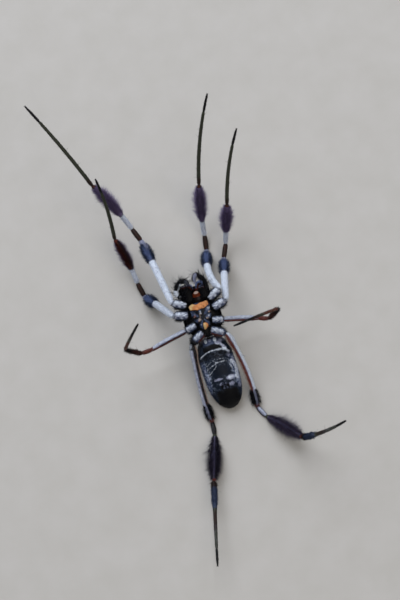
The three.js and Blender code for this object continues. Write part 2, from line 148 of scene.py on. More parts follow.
def stroke(x, y, points, half):
    """1 along a line through a few points, fading away at half its width to each side."""
    away = np.full(np.shape(x), 9.0)
    for (x0, y0), (x1, y1) in zip(points, points[1:]):
        span = (x1 - x0) ** 2 + (y1 - y0) ** 2
        t = np.clip(((x - x0) * (x1 - x0) + (y - y0) * (y1 - y0)) / span, 0, 1)
        away = np.minimum(away, np.hypot(x - x0 - t * (x1 - x0), y - y0 - t * (y1 - y0)))
    return 1 - soft(away, 0.5 * half, 1.4 * half)


def facing(turn, middle, half, edge):
    """1 where a turn round a limb is within half of the middle. All are in degrees but turn."""
    away = np.abs((np.degrees(turn) - middle + 180) % 360 - 180)
    return 1 - soft(away, half - edge, half + edge)


def turns(columns):
    """Angles at equal steps round a ring."""
    return 2 * np.pi * np.arange(columns) / columns


def turned(vectors):
    """Directions in the trunk's frame, turned into the row's."""
    x, y, z = np.moveaxis(np.asarray(vectors, float), -1, 0)
    c, s = np.cos(HEAD_UP), np.sin(HEAD_UP)
    return np.stack([x, y * c - z * s, y * s + z * c], -1)


def in_row(points):
    """Points in the trunk's frame, placed in the row's."""
    return turned(points) + BREASTPLATE_PLACE


def unit(vectors):
    """Vectors brought to length 1."""
    return vectors / np.maximum(np.linalg.norm(vectors, axis=-1, keepdims=True), 1e-12)


def curve_through(points, count):
    """A smooth curve through a few points, and its direction, at equal shares of its length."""
    p = np.array(points, float)
    p = np.vstack([2 * p[0] - p[1], p, 2 * p[-1] - p[-2]])
    pieces = []
    for i in range(1, len(p) - 2):
        t = np.linspace(0, 1, 60, endpoint=i == len(p) - 3)[:, None]
        a, b, c, d = p[i - 1 : i + 3]
        pieces.append(
            0.5 * (2 * b + (c - a) * t + (2 * a - 5 * b + 4 * c - d) * t**2
                   + (3 * b - a - 3 * c + d) * t**3)
        )
    line = np.vstack(pieces)
    run = np.r_[0, np.cumsum(np.linalg.norm(np.diff(line, axis=0), axis=1))]
    at = np.linspace(0, run[-1], count)
    line = np.stack([np.interp(at, run, line[:, k]) for k in range(3)], -1)
    return line, unit(np.gradient(line, axis=0))


# ---------- shapes woven from rings ----------


# What stays free at the edges of a map, and of each shape's strip on it.
MAP_MARGIN = 0.01
STRIP_MARGIN = 0.06


class Shape:
    """A closed surface: rings of points run along it, and each ring runs round it.

    marks holds, by name, how much of a marking or a kind of hair each point has, from none to all
    of it, and "reach" the length of its tufts. strip is the shape's own strip of its piece's map,
    once the piece has been laid out.
    """

    def __init__(self, rings, marks=None, room=1.0):
        self.rings = rings
        self.marks = {
            name: np.broadcast_to(held if name == "reach" else np.clip(held, 0, 1), rings.shape[:2])
            for name, held in (marks or {}).items()
        }
        self.room = room
        self.strip = (0.0, 1.0)
        middle = rings.mean(1)
        along = np.gradient(rings, axis=0)
        around = np.roll(rings, -1, 1) - np.roll(rings, 1, 1)
        normal = unit(np.cross(along, around))
        self.turned_out = (normal * (rings - middle[:, None])).sum() > 0
        self.outward = normal if self.turned_out else -normal
        self.along = unit(along)
        run = np.r_[0, np.cumsum(np.linalg.norm(np.diff(middle, axis=0), axis=1))]
        girth = np.linalg.norm(rings - middle[:, None], axis=-1).mean() * 2 * np.pi
        round_share = np.arange(rings.shape[1]) / rings.shape[1]
        self.lie = np.stack(np.broadcast_arrays(run[:, None], girth * round_share[None], 0.0), -1)

    def map_place(self, row, column):
        """Where a place on the grid lies on the piece's map."""
        rows, columns = self.rings.shape[:2]
        low, high = self.strip
        u = MAP_MARGIN + (1 - 2 * MAP_MARGIN) * row / (rows - 1)
        return np.stack(np.broadcast_arrays(u, low + (high - low) * column / columns), -1)

    def faces(self):
        """Corners of faces and their map places: the quads, then the triangles of each end."""
        n, m = self.rings.shape[:2]
        i, j = (a.ravel() for a in np.meshgrid(np.arange(n - 1), np.arange(m), indexing="ij"))
        square = ((0, 0), (1, 0), (1, 1), (0, 1))
        quads = np.stack([(i + a) * m + (j + b) % m for a, b in square], -1)
        groups = [(quads, np.stack([self.map_place(i + a, j + b) for a, b in square], 1))]
        j = np.arange(m)
        for row, pole, inner, order in ((0, n * m, 0.5, (0, 1, 2)), (n - 1, n * m + 1, n - 1.5, (1, 0, 2))):
            corners = np.stack([row * m + j, row * m + (j + 1) % m, np.full(m, pole)], -1)
            places = [self.map_place(row, j), self.map_place(row, j + 1), self.map_place(inner, j + 0.5)]
            groups.append((corners[:, order], np.stack(places, 1)[:, order]))
        if not self.turned_out:
            groups = [(corners[:, ::-1], places[:, ::-1]) for corners, places in groups]
        return groups

    def values(self, name):
        """How much of a marking each point has, with the middle points of the two ends last."""
        return with_ends(self.marks.get(name, np.zeros(self.rings.shape[:2])))


def with_ends(grid):
    """What a grid holds as a list, with the mean of its first and its last ring at the end."""
    return np.concatenate([grid.reshape(-1, *grid.shape[2:]), grid[[0, -1]].mean(1)])


def lay_out(shapes):
    """Gives each shape a strip of the piece's map, as high as the room it asks for."""
    heights = np.array([s.room for s in shapes])
    tops = np.cumsum(heights) / heights.sum()
    for shape, top, height in zip(shapes, tops, heights / heights.sum()):
        shape.strip = (top - (1 - STRIP_MARGIN) * height, top - STRIP_MARGIN * height)


def limb(points, belly, front, radius, marks=None, room=1.0):
    """A shape round a line. Its first column is on the belly side, a quarter turn is the front."""
    turn = turns(radius.shape[1])[None, :, None]
    way = np.cos(turn) * belly[:, None] + np.sin(turn) * front[:, None]
    rings = points[:, None] + radius[..., None] * way
    rings[..., 2] = np.maximum(rings[..., 2], 0)
    return Shape(rings, marks, room)


def sides_of(forward, up, side):
    """Which way the belly side and the front of a left or right limb face, all along it."""
    belly = unit(up - forward * (forward @ up)[:, None])
    return belly, side * np.cross(belly, forward)


def body_shape(body, half, rows, columns, marks, room=1.0):
    """An oval shape of the trunk, from its front to its rear. half(y, share, aside, out) gives how
    far it lies aside and out of the belly, marks(x, y, share, out) its markings. Share 0 is the
    rear; aside and out are 1 on the left side and on the belly, and -1 on the right and the back."""
    share = (1 + np.cos(np.pi * (np.arange(rows) + 0.35) / (rows - 0.3))) / 2
    rear, axis = np.array(body.rear), np.subtract(body.front, body.rear)
    over = np.array([0, -axis[2], axis[1]]) / np.hypot(axis[1], axis[2])
    share, angle = np.meshgrid(share, turns(columns), indexing="ij")
    out = np.sin(angle)
    x, z = half(rear[1] + axis[1] * share, share, np.cos(angle), out)
    rings = rear + axis * share[..., None] + over * z[..., None] + x[..., None] * (1, 0, 0)
    placed = in_row(rings)
    placed[..., 2] = np.maximum(placed[..., 2], 0)
    return Shape(placed, marks(rings[..., 0], rings[..., 1], share, out), room)


def all_black(*at):
    """Markings of the soft parts that are black all over."""
    return {"black": 1}


def fullness(share, rear_power, front_power):
    """How full a rounded body is at a share of its length; a higher power makes a blunter end. It
    never gets quite to nothing."""
    power = np.where(share < 0.5, rear_power, front_power)
    return np.sqrt(np.maximum(1 - np.abs(2 * share - 1) ** power, 0.0004))


# ---------- the legs ----------


def heading(bearing, rise):
    """Directions from bearings, which run from the head towards the left side, and rises."""
    bearing, rise = np.radians(bearing), np.radians(rise)
    level = np.cos(rise)
    return np.stack([level * np.sin(bearing), level * np.cos(bearing), np.sin(rise)], -1)


def leg_path(leg, side, pose):
    """The middle line of a leg every PATH_STEP, and where along it each segment starts and ends."""
    knee, femur, patella, tibia, foot = pose
    sizes = SEGMENTS[leg]
    root, hip = (in_row(np.array(end) * (side, 1, 1)) for end in SOCKETS[leg])
    coxa = hip - root
    fall = -np.degrees(np.arcsin((hip[2] - knee) / sizes[0]))
    # Length, bearing, sweep, rise and arch of each stretch.
    stretches = [
        (sizes[0], *femur, fall, FEMUR_ARCH),
        (sizes[1], patella[0], 0, patella[1], 0),
        (sizes[2], tibia[0], tibia[2], tibia[1], 0),
        (sizes[3] + sizes[4], foot[0], foot[2], foot[1], foot[3]),
    ]
    steps = int(np.linalg.norm(coxa) / PATH_STEP + 0.5)
    headings, ends = [np.tile(unit(coxa), (steps, 1))], [0, steps]
    for length, bearing, sweep, rise, arch in stretches:
        steps = int(length / PATH_STEP + 0.5)
        at = (np.arange(steps) + 0.5) / steps - 0.5
        headings.append(heading(bearing + sweep * at, rise + arch * at))
        ends.append(ends[-1] + steps)
    headings = np.vstack(headings)
    reach = int(BEND_LENGTH / PATH_STEP / 2 + 0.5)
    total = np.vstack([np.zeros(3), np.cumsum(headings, axis=0)])
    index = np.arange(len(headings))
    high, low = np.minimum(index + reach + 1, len(headings)), np.maximum(index - reach, 0)
    steps = unit(total[high] - total[low]) * PATH_STEP
    points = root + np.vstack([np.zeros(3), np.cumsum(steps, axis=0)])
    heel = ends[4] + (ends[5] - ends[4]) * sizes[3] / (sizes[3] + sizes[4])
    return points, [*ends[:5], heel, ends[5]]


class Paint:
    """Markings laid on a shape place by place. Where places overlap, their amounts add up."""

    def __init__(self, names):
        self.marks = dict.fromkeys(names, 0.0)

    def lay(self, where, **amounts):
        """Adds an amount of each named marking at a place."""
        for name, amount in amounts.items():
            self.marks[name] = self.marks[name] + where * amount

    def fade(self, where, *names):
        """Takes the named markings off a place, by the share that where holds."""
        for name in names:
            self.marks[name] = self.marks[name] * (1 - where)

    def level(self):
        """Brings each marking to between none and all, before the painted shade of the right legs is laid.
        """
        for name in LEG_MARKS:
            self.marks[name] = np.clip(self.marks[name], 0, 1)


LEG_MARKS = ("slate", "brown", "plum", "maroon", "lilac", "buff", "black", "blue", "white")
# Which way the silver ridge on each coxa faces, in degrees from the belly towards the front, and
# half its width.
RIDGES = {1: (8, 48), 2: (6, 50), 3: (4, 38), 4: (2, 40)}
# The length of the shortest hairs of a tuft, in millimetres.
SHORTEST_REACH = 0.3


def paint_coxa(paint, leg, on, share, turn):
    """A mottled silver ridge on the belly side of a black coxa, and the ring of the trochanter."""
    middle, half = RIDGES[leg]
    silver = on.coxa * between(share, 0.05, 0.85, 0.04)
    wide_ridge, face = facing(turn, middle, half + 10, 14), facing(turn, middle, half + 8, 18)
    blot = 0.5 + 0.5 * np.sin(13 * share + 1.7 * leg) * np.cos(2.3 * turn + 5 * share + leg)
    # The ridge is whiter towards its front, a painted highlight on the side that faces the light.
    white = (0.48 if leg == 1 else 0.42) + 0.16 * facing(turn, middle + 20, 26, 14) - 0.12 * blot
    paint.lay(silver * facing(turn, middle, half, 16), white=white, lilac=0.42 + 0.1 * blot,
              buff=0.42 * soft(share, 0.55, 0.8))
    paint.lay(silver, slate=0.8 * wide_ridge)
    # The coxa is black; the 0.35 term on its rear side is painted shade of the gap behind it.
    paint.lay(on.coxa, black=0.72 - 0.72 * wide_ridge + 0.35 * facing(turn, middle - 90, 60, 15)
              + 0.8 * (1 - between(share, 0.07, 0.86, 0.03)))
    paint.lay(on.trochanter, white=face * (0.4 if leg <= 2 else 0.2), black=0.5 - 0.4 * face,
              slate=0.6, brown=0.5 - 0.5 * face)


def paint_front_leg(paint, on, share, turn):
    """A white thigh that ends in a blue-black tuft, and a purple brush on the shin."""
    tuft = on.femur * between(share, 0.67, 0.93, 0.012)
    shin = on.tibia * between(share, 0.3, 0.95, 0.02)
    # The tuft is faintly blue all round; the stronger streak down its belly side is a painted bluish sheen.
    blue = 0.22 + 0.5 * facing(turn, 0, 30, 16) * between(share, 0.68, 0.88, 0.05)
    paint.lay(on.femur * (share < 0.67), white=0.95, lilac=1)
    paint.lay(on.femur * (share > 0.93), lilac=1)
    paint.lay(tuft, slate=0.8, blue=blue, black=0.75 * (0.85 - tuft * blue), brush=1,
              reach=0.55 * (1 + soft(share, 0.66, 0.76)) * (1 - 0.4 * soft(share, 0.84, 0.93)))
    paint.lay(on.patella, brown=1, maroon=0.3)
    paint.lay(on.tibia * (share < 0.3), white=0.52, lilac=1)
    paint.lay(on.tibia * (share > 0.95), brown=1, maroon=0.4)
    paint.lay(shin, plum=1, black=0.16, maroon=0.28 * facing(turn, -20, 30, 15),
              brush=1 - 0.3 * soft(share, 0.75, 0.95),
              reach=1.7 * (0.35 + 0.65 * soft(share, 0.28, 0.5)) * (1 - 0.55 * soft(share, 0.7, 0.95)))


def paint_short_leg(paint, on, share, turn):
    """A lilac thigh with a red-brown stripe, then brown under short hair, with no long tufts."""
    stripe = facing(turn, -48, 30, 8)
    paint.lay(on.femur * (share < 0.94), white=0.5 * facing(turn, 55, 58, 10), lilac=1 - stripe,
              maroon=stripe, slate=facing(turn, -12, 12, 8),
              black=0.45 * facing(turn, -12, 9, 8) + 0.6 * facing(turn, -88, 14, 8))
    paint.lay(on.femur * (share >= 0.94), maroon=1)
    paint.lay(on.patella, maroon=0.6, brown=1)
    paint.lay(on.tibia, brown=0.7, maroon=0.42, black=0.28 + 0.35 * soft(share, 0.4, 0.9),
              brush=0.6 * between(share, 0.1, 0.95, 0.04), reach=0.55, foot=0.6)
    paint.lay(on.metatarsus, brown=soft(share, 0.45, 0.8), maroon=0.5 - 0.5 * soft(share, 0.4, 0.7),
              black=soft(share, 0.7, 0.95))


def paint_rear_leg(paint, on, share, turn):
    """A thigh striped white, red-brown and buff, black tufts on thigh and shin, and a dark ankle."""
    tuft = on.femur * between(share, 0.77, 0.95, 0.012)
    shin = on.tibia * between(share, 0.05, 0.96, 0.02)
    # The narrow lilac and blue streaks down the belly side of the thigh tuft and the shin are painted sheen.
    rear_side, blue = facing(turn, -72, 34, 10), 0.45 * facing(turn, 8, 12, 8)
    paint.lay(on.femur * (share < 0.79), white=0.62 * facing(turn, 70, 58, 7),
              lilac=facing(turn, 70, 66, 7), maroon=facing(turn, -16, 29, 6),
              buff=facing(turn, -65, 22, 6), black=0.75 * facing(turn, -90, 17, 8))
    paint.fade(0.5 * rear_side, "black")
    paint.lay(on.coxa, maroon=0.8 * rear_side)
    paint.lay(on.femur * (share > 0.95) + on.tibia * (share > 0.96), maroon=1)
    paint.lay(tuft, lilac=0.8 * facing(turn, 12, 20, 8), black=1 - facing(turn, 12, 24, 8), brush=0.8,
              reach=0.525 * (1 + soft(share, 0.77, 0.83)))
    paint.lay(on.patella, lilac=facing(turn, 20, 55, 15), white=0.5 * facing(turn, 25, 30, 15), brown=0.8)
    paint.lay(shin, lilac=0.42 * facing(turn, 8, 9, 7), blue=blue, plum=0.52, black=0.45 - shin * blue,
              brush=1 - 0.3 * soft(share, 0.75, 0.95),
              reach=2.2 * (0.3 + 0.7 * soft(share, 0.03, 0.35)) * (1 - 0.6 * soft(share, 0.6, 0.96)))
    paint.lay(on.metatarsus * (1 - soft(share, 0.3, 0.44)), black=0.34, brush=0.8, reach=0.5)
    paint.lay(on.metatarsus, slate=0.75 * (share < 0.42), brown=0.8 * between(share, 0.45, 0.75, 0.1),
              lilac=0.3 * soft(share, 0.5, 0.7))


def paint_right_leg_shade(paint, name, on, share, turn):
    """Painted shade on the right legs: parts of their belly side are painted darker than on the left legs,
    and right_1's tuft gets a paler lilac streak, a painted sheen.
    """
    thigh, shin_face = on.femur * (share < 0.79), on.tibia * facing(turn, 0, 80, 25)
    if name in ("right_1", "right_2"):
        paint.fade(0.36 * on.femur, "white")
    if name == "right_1":
        # A painted sheen: a paler lilac streak down the tuft of this thigh.
        pale = paint.marks["brush"] * on.femur * facing(turn, 30, 26, 12) * soft(share, 0.79, 0.86)
        paint.lay(pale, lilac=1)
        paint.fade(pale, "black", "blue")
    elif name == "right_2":
        shin = shin_face * soft(share, 0.28, 0.34)
        paint.fade(0.6 * shin, "plum")
        paint.lay(shin, maroon=0.46, black=0.32)
        paint.fade(0.2 * on.tibia, "reach")
    elif name == "right_3":
        paint.lay(thigh, black=0.42 * facing(turn, -48, 34, 10))
    elif name == "right_4":
        joints = (on.coxa + on.trochanter) * soft(share, 0.66, 0.78) + 0.6 * on.patella
        paint.fade(joints, "white", "lilac", "buff")
        paint.fade(0.28 * thigh, "white")
        paint.lay(joints, black=1)
        paint.lay(thigh, black=0.66 * facing(turn, -20, 28, 8) + (share < 0.07) * facing(turn, 70, 60, 20))
        paint.lay(shin_face, black=0.14)


def leg_marks(name, leg, segment, share, turn):
    """Markings on a leg and where its hairs stand. turn is from the belly side to the front."""
    on = SimpleNamespace(**{part: (segment == k).astype(float) for k, part in enumerate(SEGMENT_NAMES)})
    on.trochanter = on.coxa * (share >= TROCHANTER_FROM)
    on.coxa = on.coxa * (share < TROCHANTER_FROM)
    paint = Paint([*LEG_MARKS, "brush", "reach", "foot"])
    paint_coxa(paint, leg, on, share, turn)
    paint.lay(on.metatarsus, brown=0.8 * (1 - soft(share, 0.05, 0.16)), foot=1)
    paint.lay(on.tarsus, black=0.7, foot=1)
    kinds = {1: paint_front_leg, 2: paint_front_leg, 3: paint_short_leg, 4: paint_rear_leg}
    kinds[leg](paint, on, share, turn)
    pale = sum(paint.marks[mark] for mark in ("white", "lilac", "slate", "buff"))
    pale = pale + paint.marks["maroon"] * (leg > 2)
    paint.marks["sleek"] = np.clip(pale, 0, 1) * (1 - np.clip(paint.marks["brush"], 0, 1))
    paint.marks["reach"] = np.maximum(paint.marks["reach"], SHORTEST_REACH)
    paint.level()
    paint_right_leg_shade(paint, name, on, share, turn)
    return paint.marks


def leg_shape(name, columns=32, row_length=0.22):
    """The skin of a leg, with rings closer together near its joints."""
    side, leg = SIDES[name.split("_")[0]], int(name[-1])
    path, ends = leg_path(leg, side, POSES[name])
    at, segment, share = [], [], []
    for k, (start, end) in enumerate(zip(ends[:-1], ends[1:])):
        rows = max(int((end - start) * PATH_STEP / row_length), 12)
        s = (1 - np.cos(np.pi * (np.arange(rows) + 0.5) / rows)) / 2
        at.append(start + (end - start) * s)
        segment.append(np.full(rows, k))
        share.append(s)
    at, segment, share = np.concatenate(at), np.concatenate(segment), np.concatenate(share)
    index = np.arange(len(path))
    points = np.stack([np.interp(at, index, path[:, k]) for k in range(3)], -1)
    slope = unit(np.gradient(path, axis=0))
    forward = unit(np.stack([np.interp(at, index, slope[:, k]) for k in range(3)], -1))
    belly, front = sides_of(forward, turned([0.0, 0.0, 1.0]), side)
    turn = turns(columns)
    thickness = np.empty(len(at))
    for k, pairs in THICKNESS.items():
        mine = segment == k
        thickness[mine] = profile(pairs, share[mine]) * SLIMNESS[leg][k]
    # A rear leg is stouter near the hip and at the ankle.
    if leg == 4:
        thickness += (segment == FEMUR) * 0.2 * np.exp(-(((share - 0.1) / 0.08) ** 2))
        thickness += (segment == METATARSUS) * 0.12 * (1 - soft(share, 0.3, 0.5)) * soft(share, 0.0, 0.06)
    lengths = np.diff(ends)[segment] * PATH_STEP
    from_joint = np.minimum(share, 1 - share) * lengths
    # The soft inner side of each joint is notched.
    notch = 0.3 * np.exp(-((from_joint / 0.28) ** 2)) * ((segment > FEMUR) | (share > 0.5))
    radius = thickness[:, None] * (1 - notch[:, None] * np.maximum(np.cos(turn), 0))
    marks = leg_marks(name, leg, segment[:, None], share[:, None], turn)
    shape = limb(points, belly, front, radius, marks)
    shape.segment = segment[:, None]
    shape.tip, shape.tip_way = points[-1], forward[-1]
    shape.tip_belly, shape.tip_front = belly[-1], front[-1]
    return shape


legs = {name: leg_shape(name) for name in POSES}

# ---------- the trunk ----------

# Each part of the trunk: the (x, y, z) of its rear and front ends in the trunk's frame, half its
# width, and how far it bulges to the belly and to the back. The back shell has a thickness
# instead, and the width of the core is a share of the shell's.
CARAPACE = SimpleNamespace(rear=(0, -4.4, -1.85), front=(0, 6.2, -1.85), shell=0.22)
STERNUM = SimpleNamespace(rear=(0, -2.9, -0.45), front=(0, 2.85, -0.45), width=2.15, belly=0.55, back=0.9)
LABIUM = SimpleNamespace(
    rear=(0.22, 2.95, -0.03), front=(0.22, 5.18, -0.03), width=0.86, belly=0.42, back=0.5
)
MAXILLAE = {
    name: SimpleNamespace(rear=(x, 3.1, -0.35), front=(x, tip, -0.35), width=1.43, belly=0.6, back=0.8)
    for name, x, tip in (("right", -1.62, 6.95), ("left", 1.62, 5.8))
}
CORE = SimpleNamespace(rear=(0, -4.35, -1.4), front=(0, 5.0, -1.4), width=0.84, belly=0.75, back=1.3)
PEDICEL = SimpleNamespace(rear=(0, -5.45, -2.6), front=(0, -3.6, -2.45), width=0.5)
ABDOMEN = SimpleNamespace(
    rear=(0.28, -19.65, -6.6), front=(0.1, -4.5, -3.0), width=3.65, belly=2.6, back=3.2,
    bluntness=(2.45, 5.2),
)
# The two swellings of the back shell: the place of their middle, half length, half width and height.
THORAX = (-0.5, 3.95, 3.95, 2.5)
CEPHALON = (2.9, 3.35, 2.55, 3.5)
PIT_PLACE = -0.9
# The jaws hang a little to the left.
MOUTH_SHIFT = 0.2
# How far the abdomen's skin lies inside its solid, under the coat.
COAT_DEPTH = 0.05
# The share of the abdomen's length that lies ahead of the spinnerets.
SPINNERETS_ALONG = 0.68


def carapace_half(y):
    """Half width and height of the back over a place along the body."""
    total = np.zeros((2, *np.shape(y)))
    for middle, length, width, height in (THORAX, CEPHALON):
        rise = np.sqrt(np.maximum(1 - ((y - middle) / length) ** 2, 0))
        total = total + np.stack([width * rise, height * rise]) ** 4
    return np.maximum(total**0.25, 0.15)


# Bare spots on each side of the back shell, as (aside, ahead).
BALD_SPOTS = ((0.95, 0.0), (1.35, -0.95), (1.05, -2.0))


def carapace_shape():
    """A thin domed shell with the pit, the furrows that run from it and a pair of low humps."""
    def half(y, share, aside, out):
        width, height = carapace_half(y)
        x = (width - CARAPACE.shell * np.clip(out * 4, 0, 1)) * aside
        inside = -np.maximum(height - CARAPACE.shell * 1.3, 0.1) * out
        bearing = np.degrees(np.arctan2(np.abs(x), y - PIT_PLACE))
        rays = sum(np.exp(-(((bearing - ray) / 7) ** 2)) for ray in (48, 85, 118, 150))
        furrows = rays * between(np.hypot(x, y - PIT_PLACE), 0.5, 3.0, 0.4)
        pit = np.exp(-((x / 0.5) ** 2) - ((y - PIT_PLACE) / 0.75) ** 2)
        humps = np.exp(-(((np.abs(x) - 0.55) / 0.28) ** 2) - ((y - 1.6) / 0.3) ** 2)
        relief = (out < 0) * (0.09 * furrows + 0.42 * pit - 0.3 * humps)
        return x, np.where(out > 0, inside, height * out) + relief

    def marks(x, y, share, out):
        back, rim = soft(-out, 0.05, 0.3), between(-out, 0.0, 0.3, 0.12)
        eyes = spot(x, y, (0, 5.6), (2.1, 1.1))
        bald = sum(spot(np.abs(x), y, at, (0.18, 0.22), 0.5) for at in BALD_SPOTS)
        return {
            "white": back * (1 - eyes) * (1 - bald) * 0.85,
            "black": 1 - back + eyes + rim * 0.4 + bald * 0.9,
            "brown": back * 0.4,
            "sleek": back * (1 - 0.75 * eyes) * (1 - bald),
        }

    return body_shape(CARAPACE, half, 96, 104, marks)


def band_mark(x, y):
    """The orange band across the front of the breastplate: a lumpy saddle with rounded ends."""
    rear = 1.42 + 0.1 * x**2 + 0.06 * np.sin(4.3 * x + 0.6)
    front = 2.58 + 0.13 * x**2 + 0.1 * np.sin(3.6 * x)
    return between(y, rear, front, 0.12) * (1 - soft(np.abs(x + 0.05), 1.85, 2.1))


# Where the breastplate's edge is notched for a leg, and the humps beside its middle.
LEG_NOTCHES = (3.1, 0.95, -1.3)
PLATE_HUMPS = ((1.5, 0.45), (1.15, -0.8))


def sternum_shape():
    """The breastplate: a low shield with notches for the legs, humps beside them and a raised band."""
    def half(y, share, aside, out):
        taper = np.sqrt(np.clip(0.02 + 1.63 * share, 0, 1))
        blunt = fullness(share, 2, 9)
        notched = 1 - 0.1 * sum(np.exp(-(((y - at) / 0.5) ** 2)) for at in LEG_NOTCHES)
        x = STERNUM.width * taper * np.minimum(1, 0.55 + 0.5 * blunt) * notched * aside
        dome = STERNUM.belly * (0.6 + 0.4 * fullness(share, 2, 2)) * np.minimum(blunt + 0.2, 1)
        humps = sum(spot(np.abs(x), y, at, (0.4, 0.4), 0.6) for at in PLATE_HUMPS)
        lumps = 0.08 * np.sin(4.6 * x + 1) * np.sin(4.4 * y + 2 * x)
        raised = (0.2 + lumps) * band_mark(x, y) + 0.18 * humps
        raised = raised + 0.16 * spot(x, y, (0.1, -2.1), (0.45, 0.5), 0.6)
        outside = dome * np.abs(out) ** 0.8 + raised * soft(out, 0.0, 0.3)
        return x, np.where(out > 0, outside, STERNUM.back * out)

    return body_shape(STERNUM, half, 96, 112, sternum_marks)


def sternum_marks(x, y, share, out):
    """The orange band and rear spot, pale streaks of hair, and pinkish and slate patches between."""
    band = band_mark(x, y)
    rear_spot = spot(x + 0.1 * np.sin(4 * y), y, (0.12, -2.05), (0.48, 0.66), 0.6)
    left_end = spot(x, y, (-2.0, 1.9), (0.24, 0.6), 0.6)
    # A painted shade on the rear half of the band, on her left side, which turns it brown.
    band_shade = spot(x, y, (0.95, 1.85), (0.5, 0.22), 0.7)
    humps = spot(x, y, (-1.4, 0.35), (0.42, 0.34), 0.7) + 0.7 * spot(x, y, (-1.05, -0.8), (0.26, 0.26), 0.7)
    # Left of the keel lie slate and pinkish patches, one behind the other.
    pink = spot(x, y, (1.72, 0.5), (0.36, 0.3), 0.7) + spot(x, y, (1.0, -0.62), (0.42, 0.3), 0.7)
    slaty = spot(x, y, (1.8, 1.14), (0.5, 0.4), 0.7) + spot(x, y, (1.4, -0.15), (0.6, 0.3), 0.7)
    keel = stroke(x, y, [(-0.05, 0.85), (-0.29, 0.1), (-0.6, -0.65)], 0.36)
    cream = spot(x, y, (-0.6, -0.7), (0.3, 0.28), 0.7)
    streaky = 0.5 + 0.5 * np.cos(7 * np.arctan2(x, y + 0.3) + 0.6)
    pale = 0.18 + 0.5 * streaky * soft(np.hypot(x, y), 0.2, 1.0) + 0.5 * slaty
    hairy = (1 - band) * (1 - rear_spot) * np.clip(pale, 0, 1)
    # The band is yellower at her right end; its front edge is lighter, a painted highlight.
    gold = (0.6 * soft(-x, 0.9, 1.7) + 0.42 * soft(y, 2.1, 2.5)) * (1 - band_shade)
    belly = out > 0
    return {
        "orange": band * (1 - 0.4 * band_shade - 0.4 * left_end) + rear_spot,
        "yellow": rear_spot * soft(-x, -0.4, 0.0) + band * gold,
        "brown": belly * band * (left_end + band_shade),
        "maroon": belly * 0.55 * humps,
        "buff": belly * (pink * 0.52 + 0.42 * humps + keel * 0.42 + cream * 0.12),
        "slate": belly * hairy,
        "white": belly * (hairy * 0.4 + 0.24 * keel) * (1 - cream),
        "sleek": hairy * 1.2 * (out > 0.05),
    }


def plate_shape(plate, powers, marks):
    """A rounded mouthpart plate lying along the body."""
    def half(y, share, aside, out):
        full = fullness(share, *powers)
        return plate.width * full * aside, np.where(out > 0, plate.belly, plate.back) * full * out

    return body_shape(plate, half, 48, 56, marks)


def horn_shape(points, side, pairs, rows, columns, marks, room=1.0, shift=0.0):
    """A tapering limb along a curve in the trunk's frame. +x of a left one is its outer side."""
    line, forward = curve_through(np.array(points) * (side, 1, 1) + (shift, 0, 0), rows)
    share = np.linspace(0, 1, rows)
    belly, front = sides_of(forward, unit(np.array([0.0, 0.3, 1.0])), side)
    radius = np.tile(profile(pairs, share)[:, None], columns)
    held = marks(share[:, None], turns(columns))
    return limb(in_row(line), turned(belly), turned(front), radius, held, room)


PALPS = {
    "left": [(2.3, 4.65, -0.45), (2.5, 5.4, -0.1), (2.62, 6.25, 0.3), (2.55, 6.75, 0.5),
             (2.2, 7.28, 0.7), (1.85, 7.72, 0.9), (1.6, 8.08, 1.0), (1.22, 8.2, 1.1),
             (0.86, 7.9, 1.15), (0.66, 7.35, 1.1), (0.58, 6.75, 1.0)],
    "right": [(2.31, 4.65, -0.45), (3.04, 4.98, -0.3), (3.48, 5.44, -0.12), (3.56, 5.99, 0.0),
              (3.33, 6.59, 0.15), (2.89, 7.2, 0.35), (2.3, 7.73, 0.6), (1.63, 7.81, 0.85),
              (1.01, 7.45, 1.05), (0.63, 6.78, 1.15)],
}
PALP_THICKNESS = [
    [0, 0.3], [0.05, 0.44], [0.15, 0.44], [0.19, 0.37], [0.25, 0.48], [0.35, 0.47], [0.39, 0.38],
    [0.46, 0.48], [0.57, 0.47], [0.61, 0.37], [0.7, 0.43], [0.88, 0.38], [0.97, 0.25], [1, 0.08],
]
CHELICERA = [(1.15, 4.4, -2.5), (1.2, 5.6, -1.9), (1.25, 6.3, -0.35)]
CHELICERA_THICKNESS = [[0, 0.48], [0.15, 0.84], [0.5, 1.03], [0.85, 0.93], [0.95, 0.62], [1, 0.22]]
FANG = [(1.0, 6.3, -0.1), (0.75, 5.95, 0.4), (0.45, 5.3, 0.5)]
FANG_TAPER = [[0, 0.26], [0.15, 0.25], [0.5, 0.17], [0.85, 0.08], [1, 0.015]]
EYE_RADIUS = 0.19
EYES = {
    "front_inner": (0.4, 5.8), "front_outer": (1.55, 5.1),
    "rear_inner": (0.44, 5.25), "rear_outer": (1.8, 4.65),
}


def palp_marks(share, turn, pale):
    """A pale ring and inner side on a black feeler, and a painted bluish sheen at its tip."""
    ring = between(share, 0.2, 0.38, 0.02)
    ring = ring + 0.5 * between(share, 0.1, 0.17, 0.02) * facing(turn, -20, 30, 15)
    inner = facing(turn, 90, 46, 15) * between(share, 0.36, 0.66, 0.03) * (0.25 + 0.94 * pale)
    tip = soft(share, 0.64 + 0.12 * pale, 0.7 + 0.18 * pale)
    # Where the painted sheen lies, the black is taken off.
    tip_sheen = tip * facing(turn, 20, 60, 25) * (1 - 0.6 * pale)
    return {
        "white": pale * ring + 0.75 * inner,
        "lilac": tip * facing(turn, 20, 75, 25) * (1.25 - 0.95 * pale),
        "black": 1 - 1.2 * ring * pale - inner - tip_sheen,
        "bristly": 0.35 + 0.65 * soft(share, 0.34, 0.42),
    }


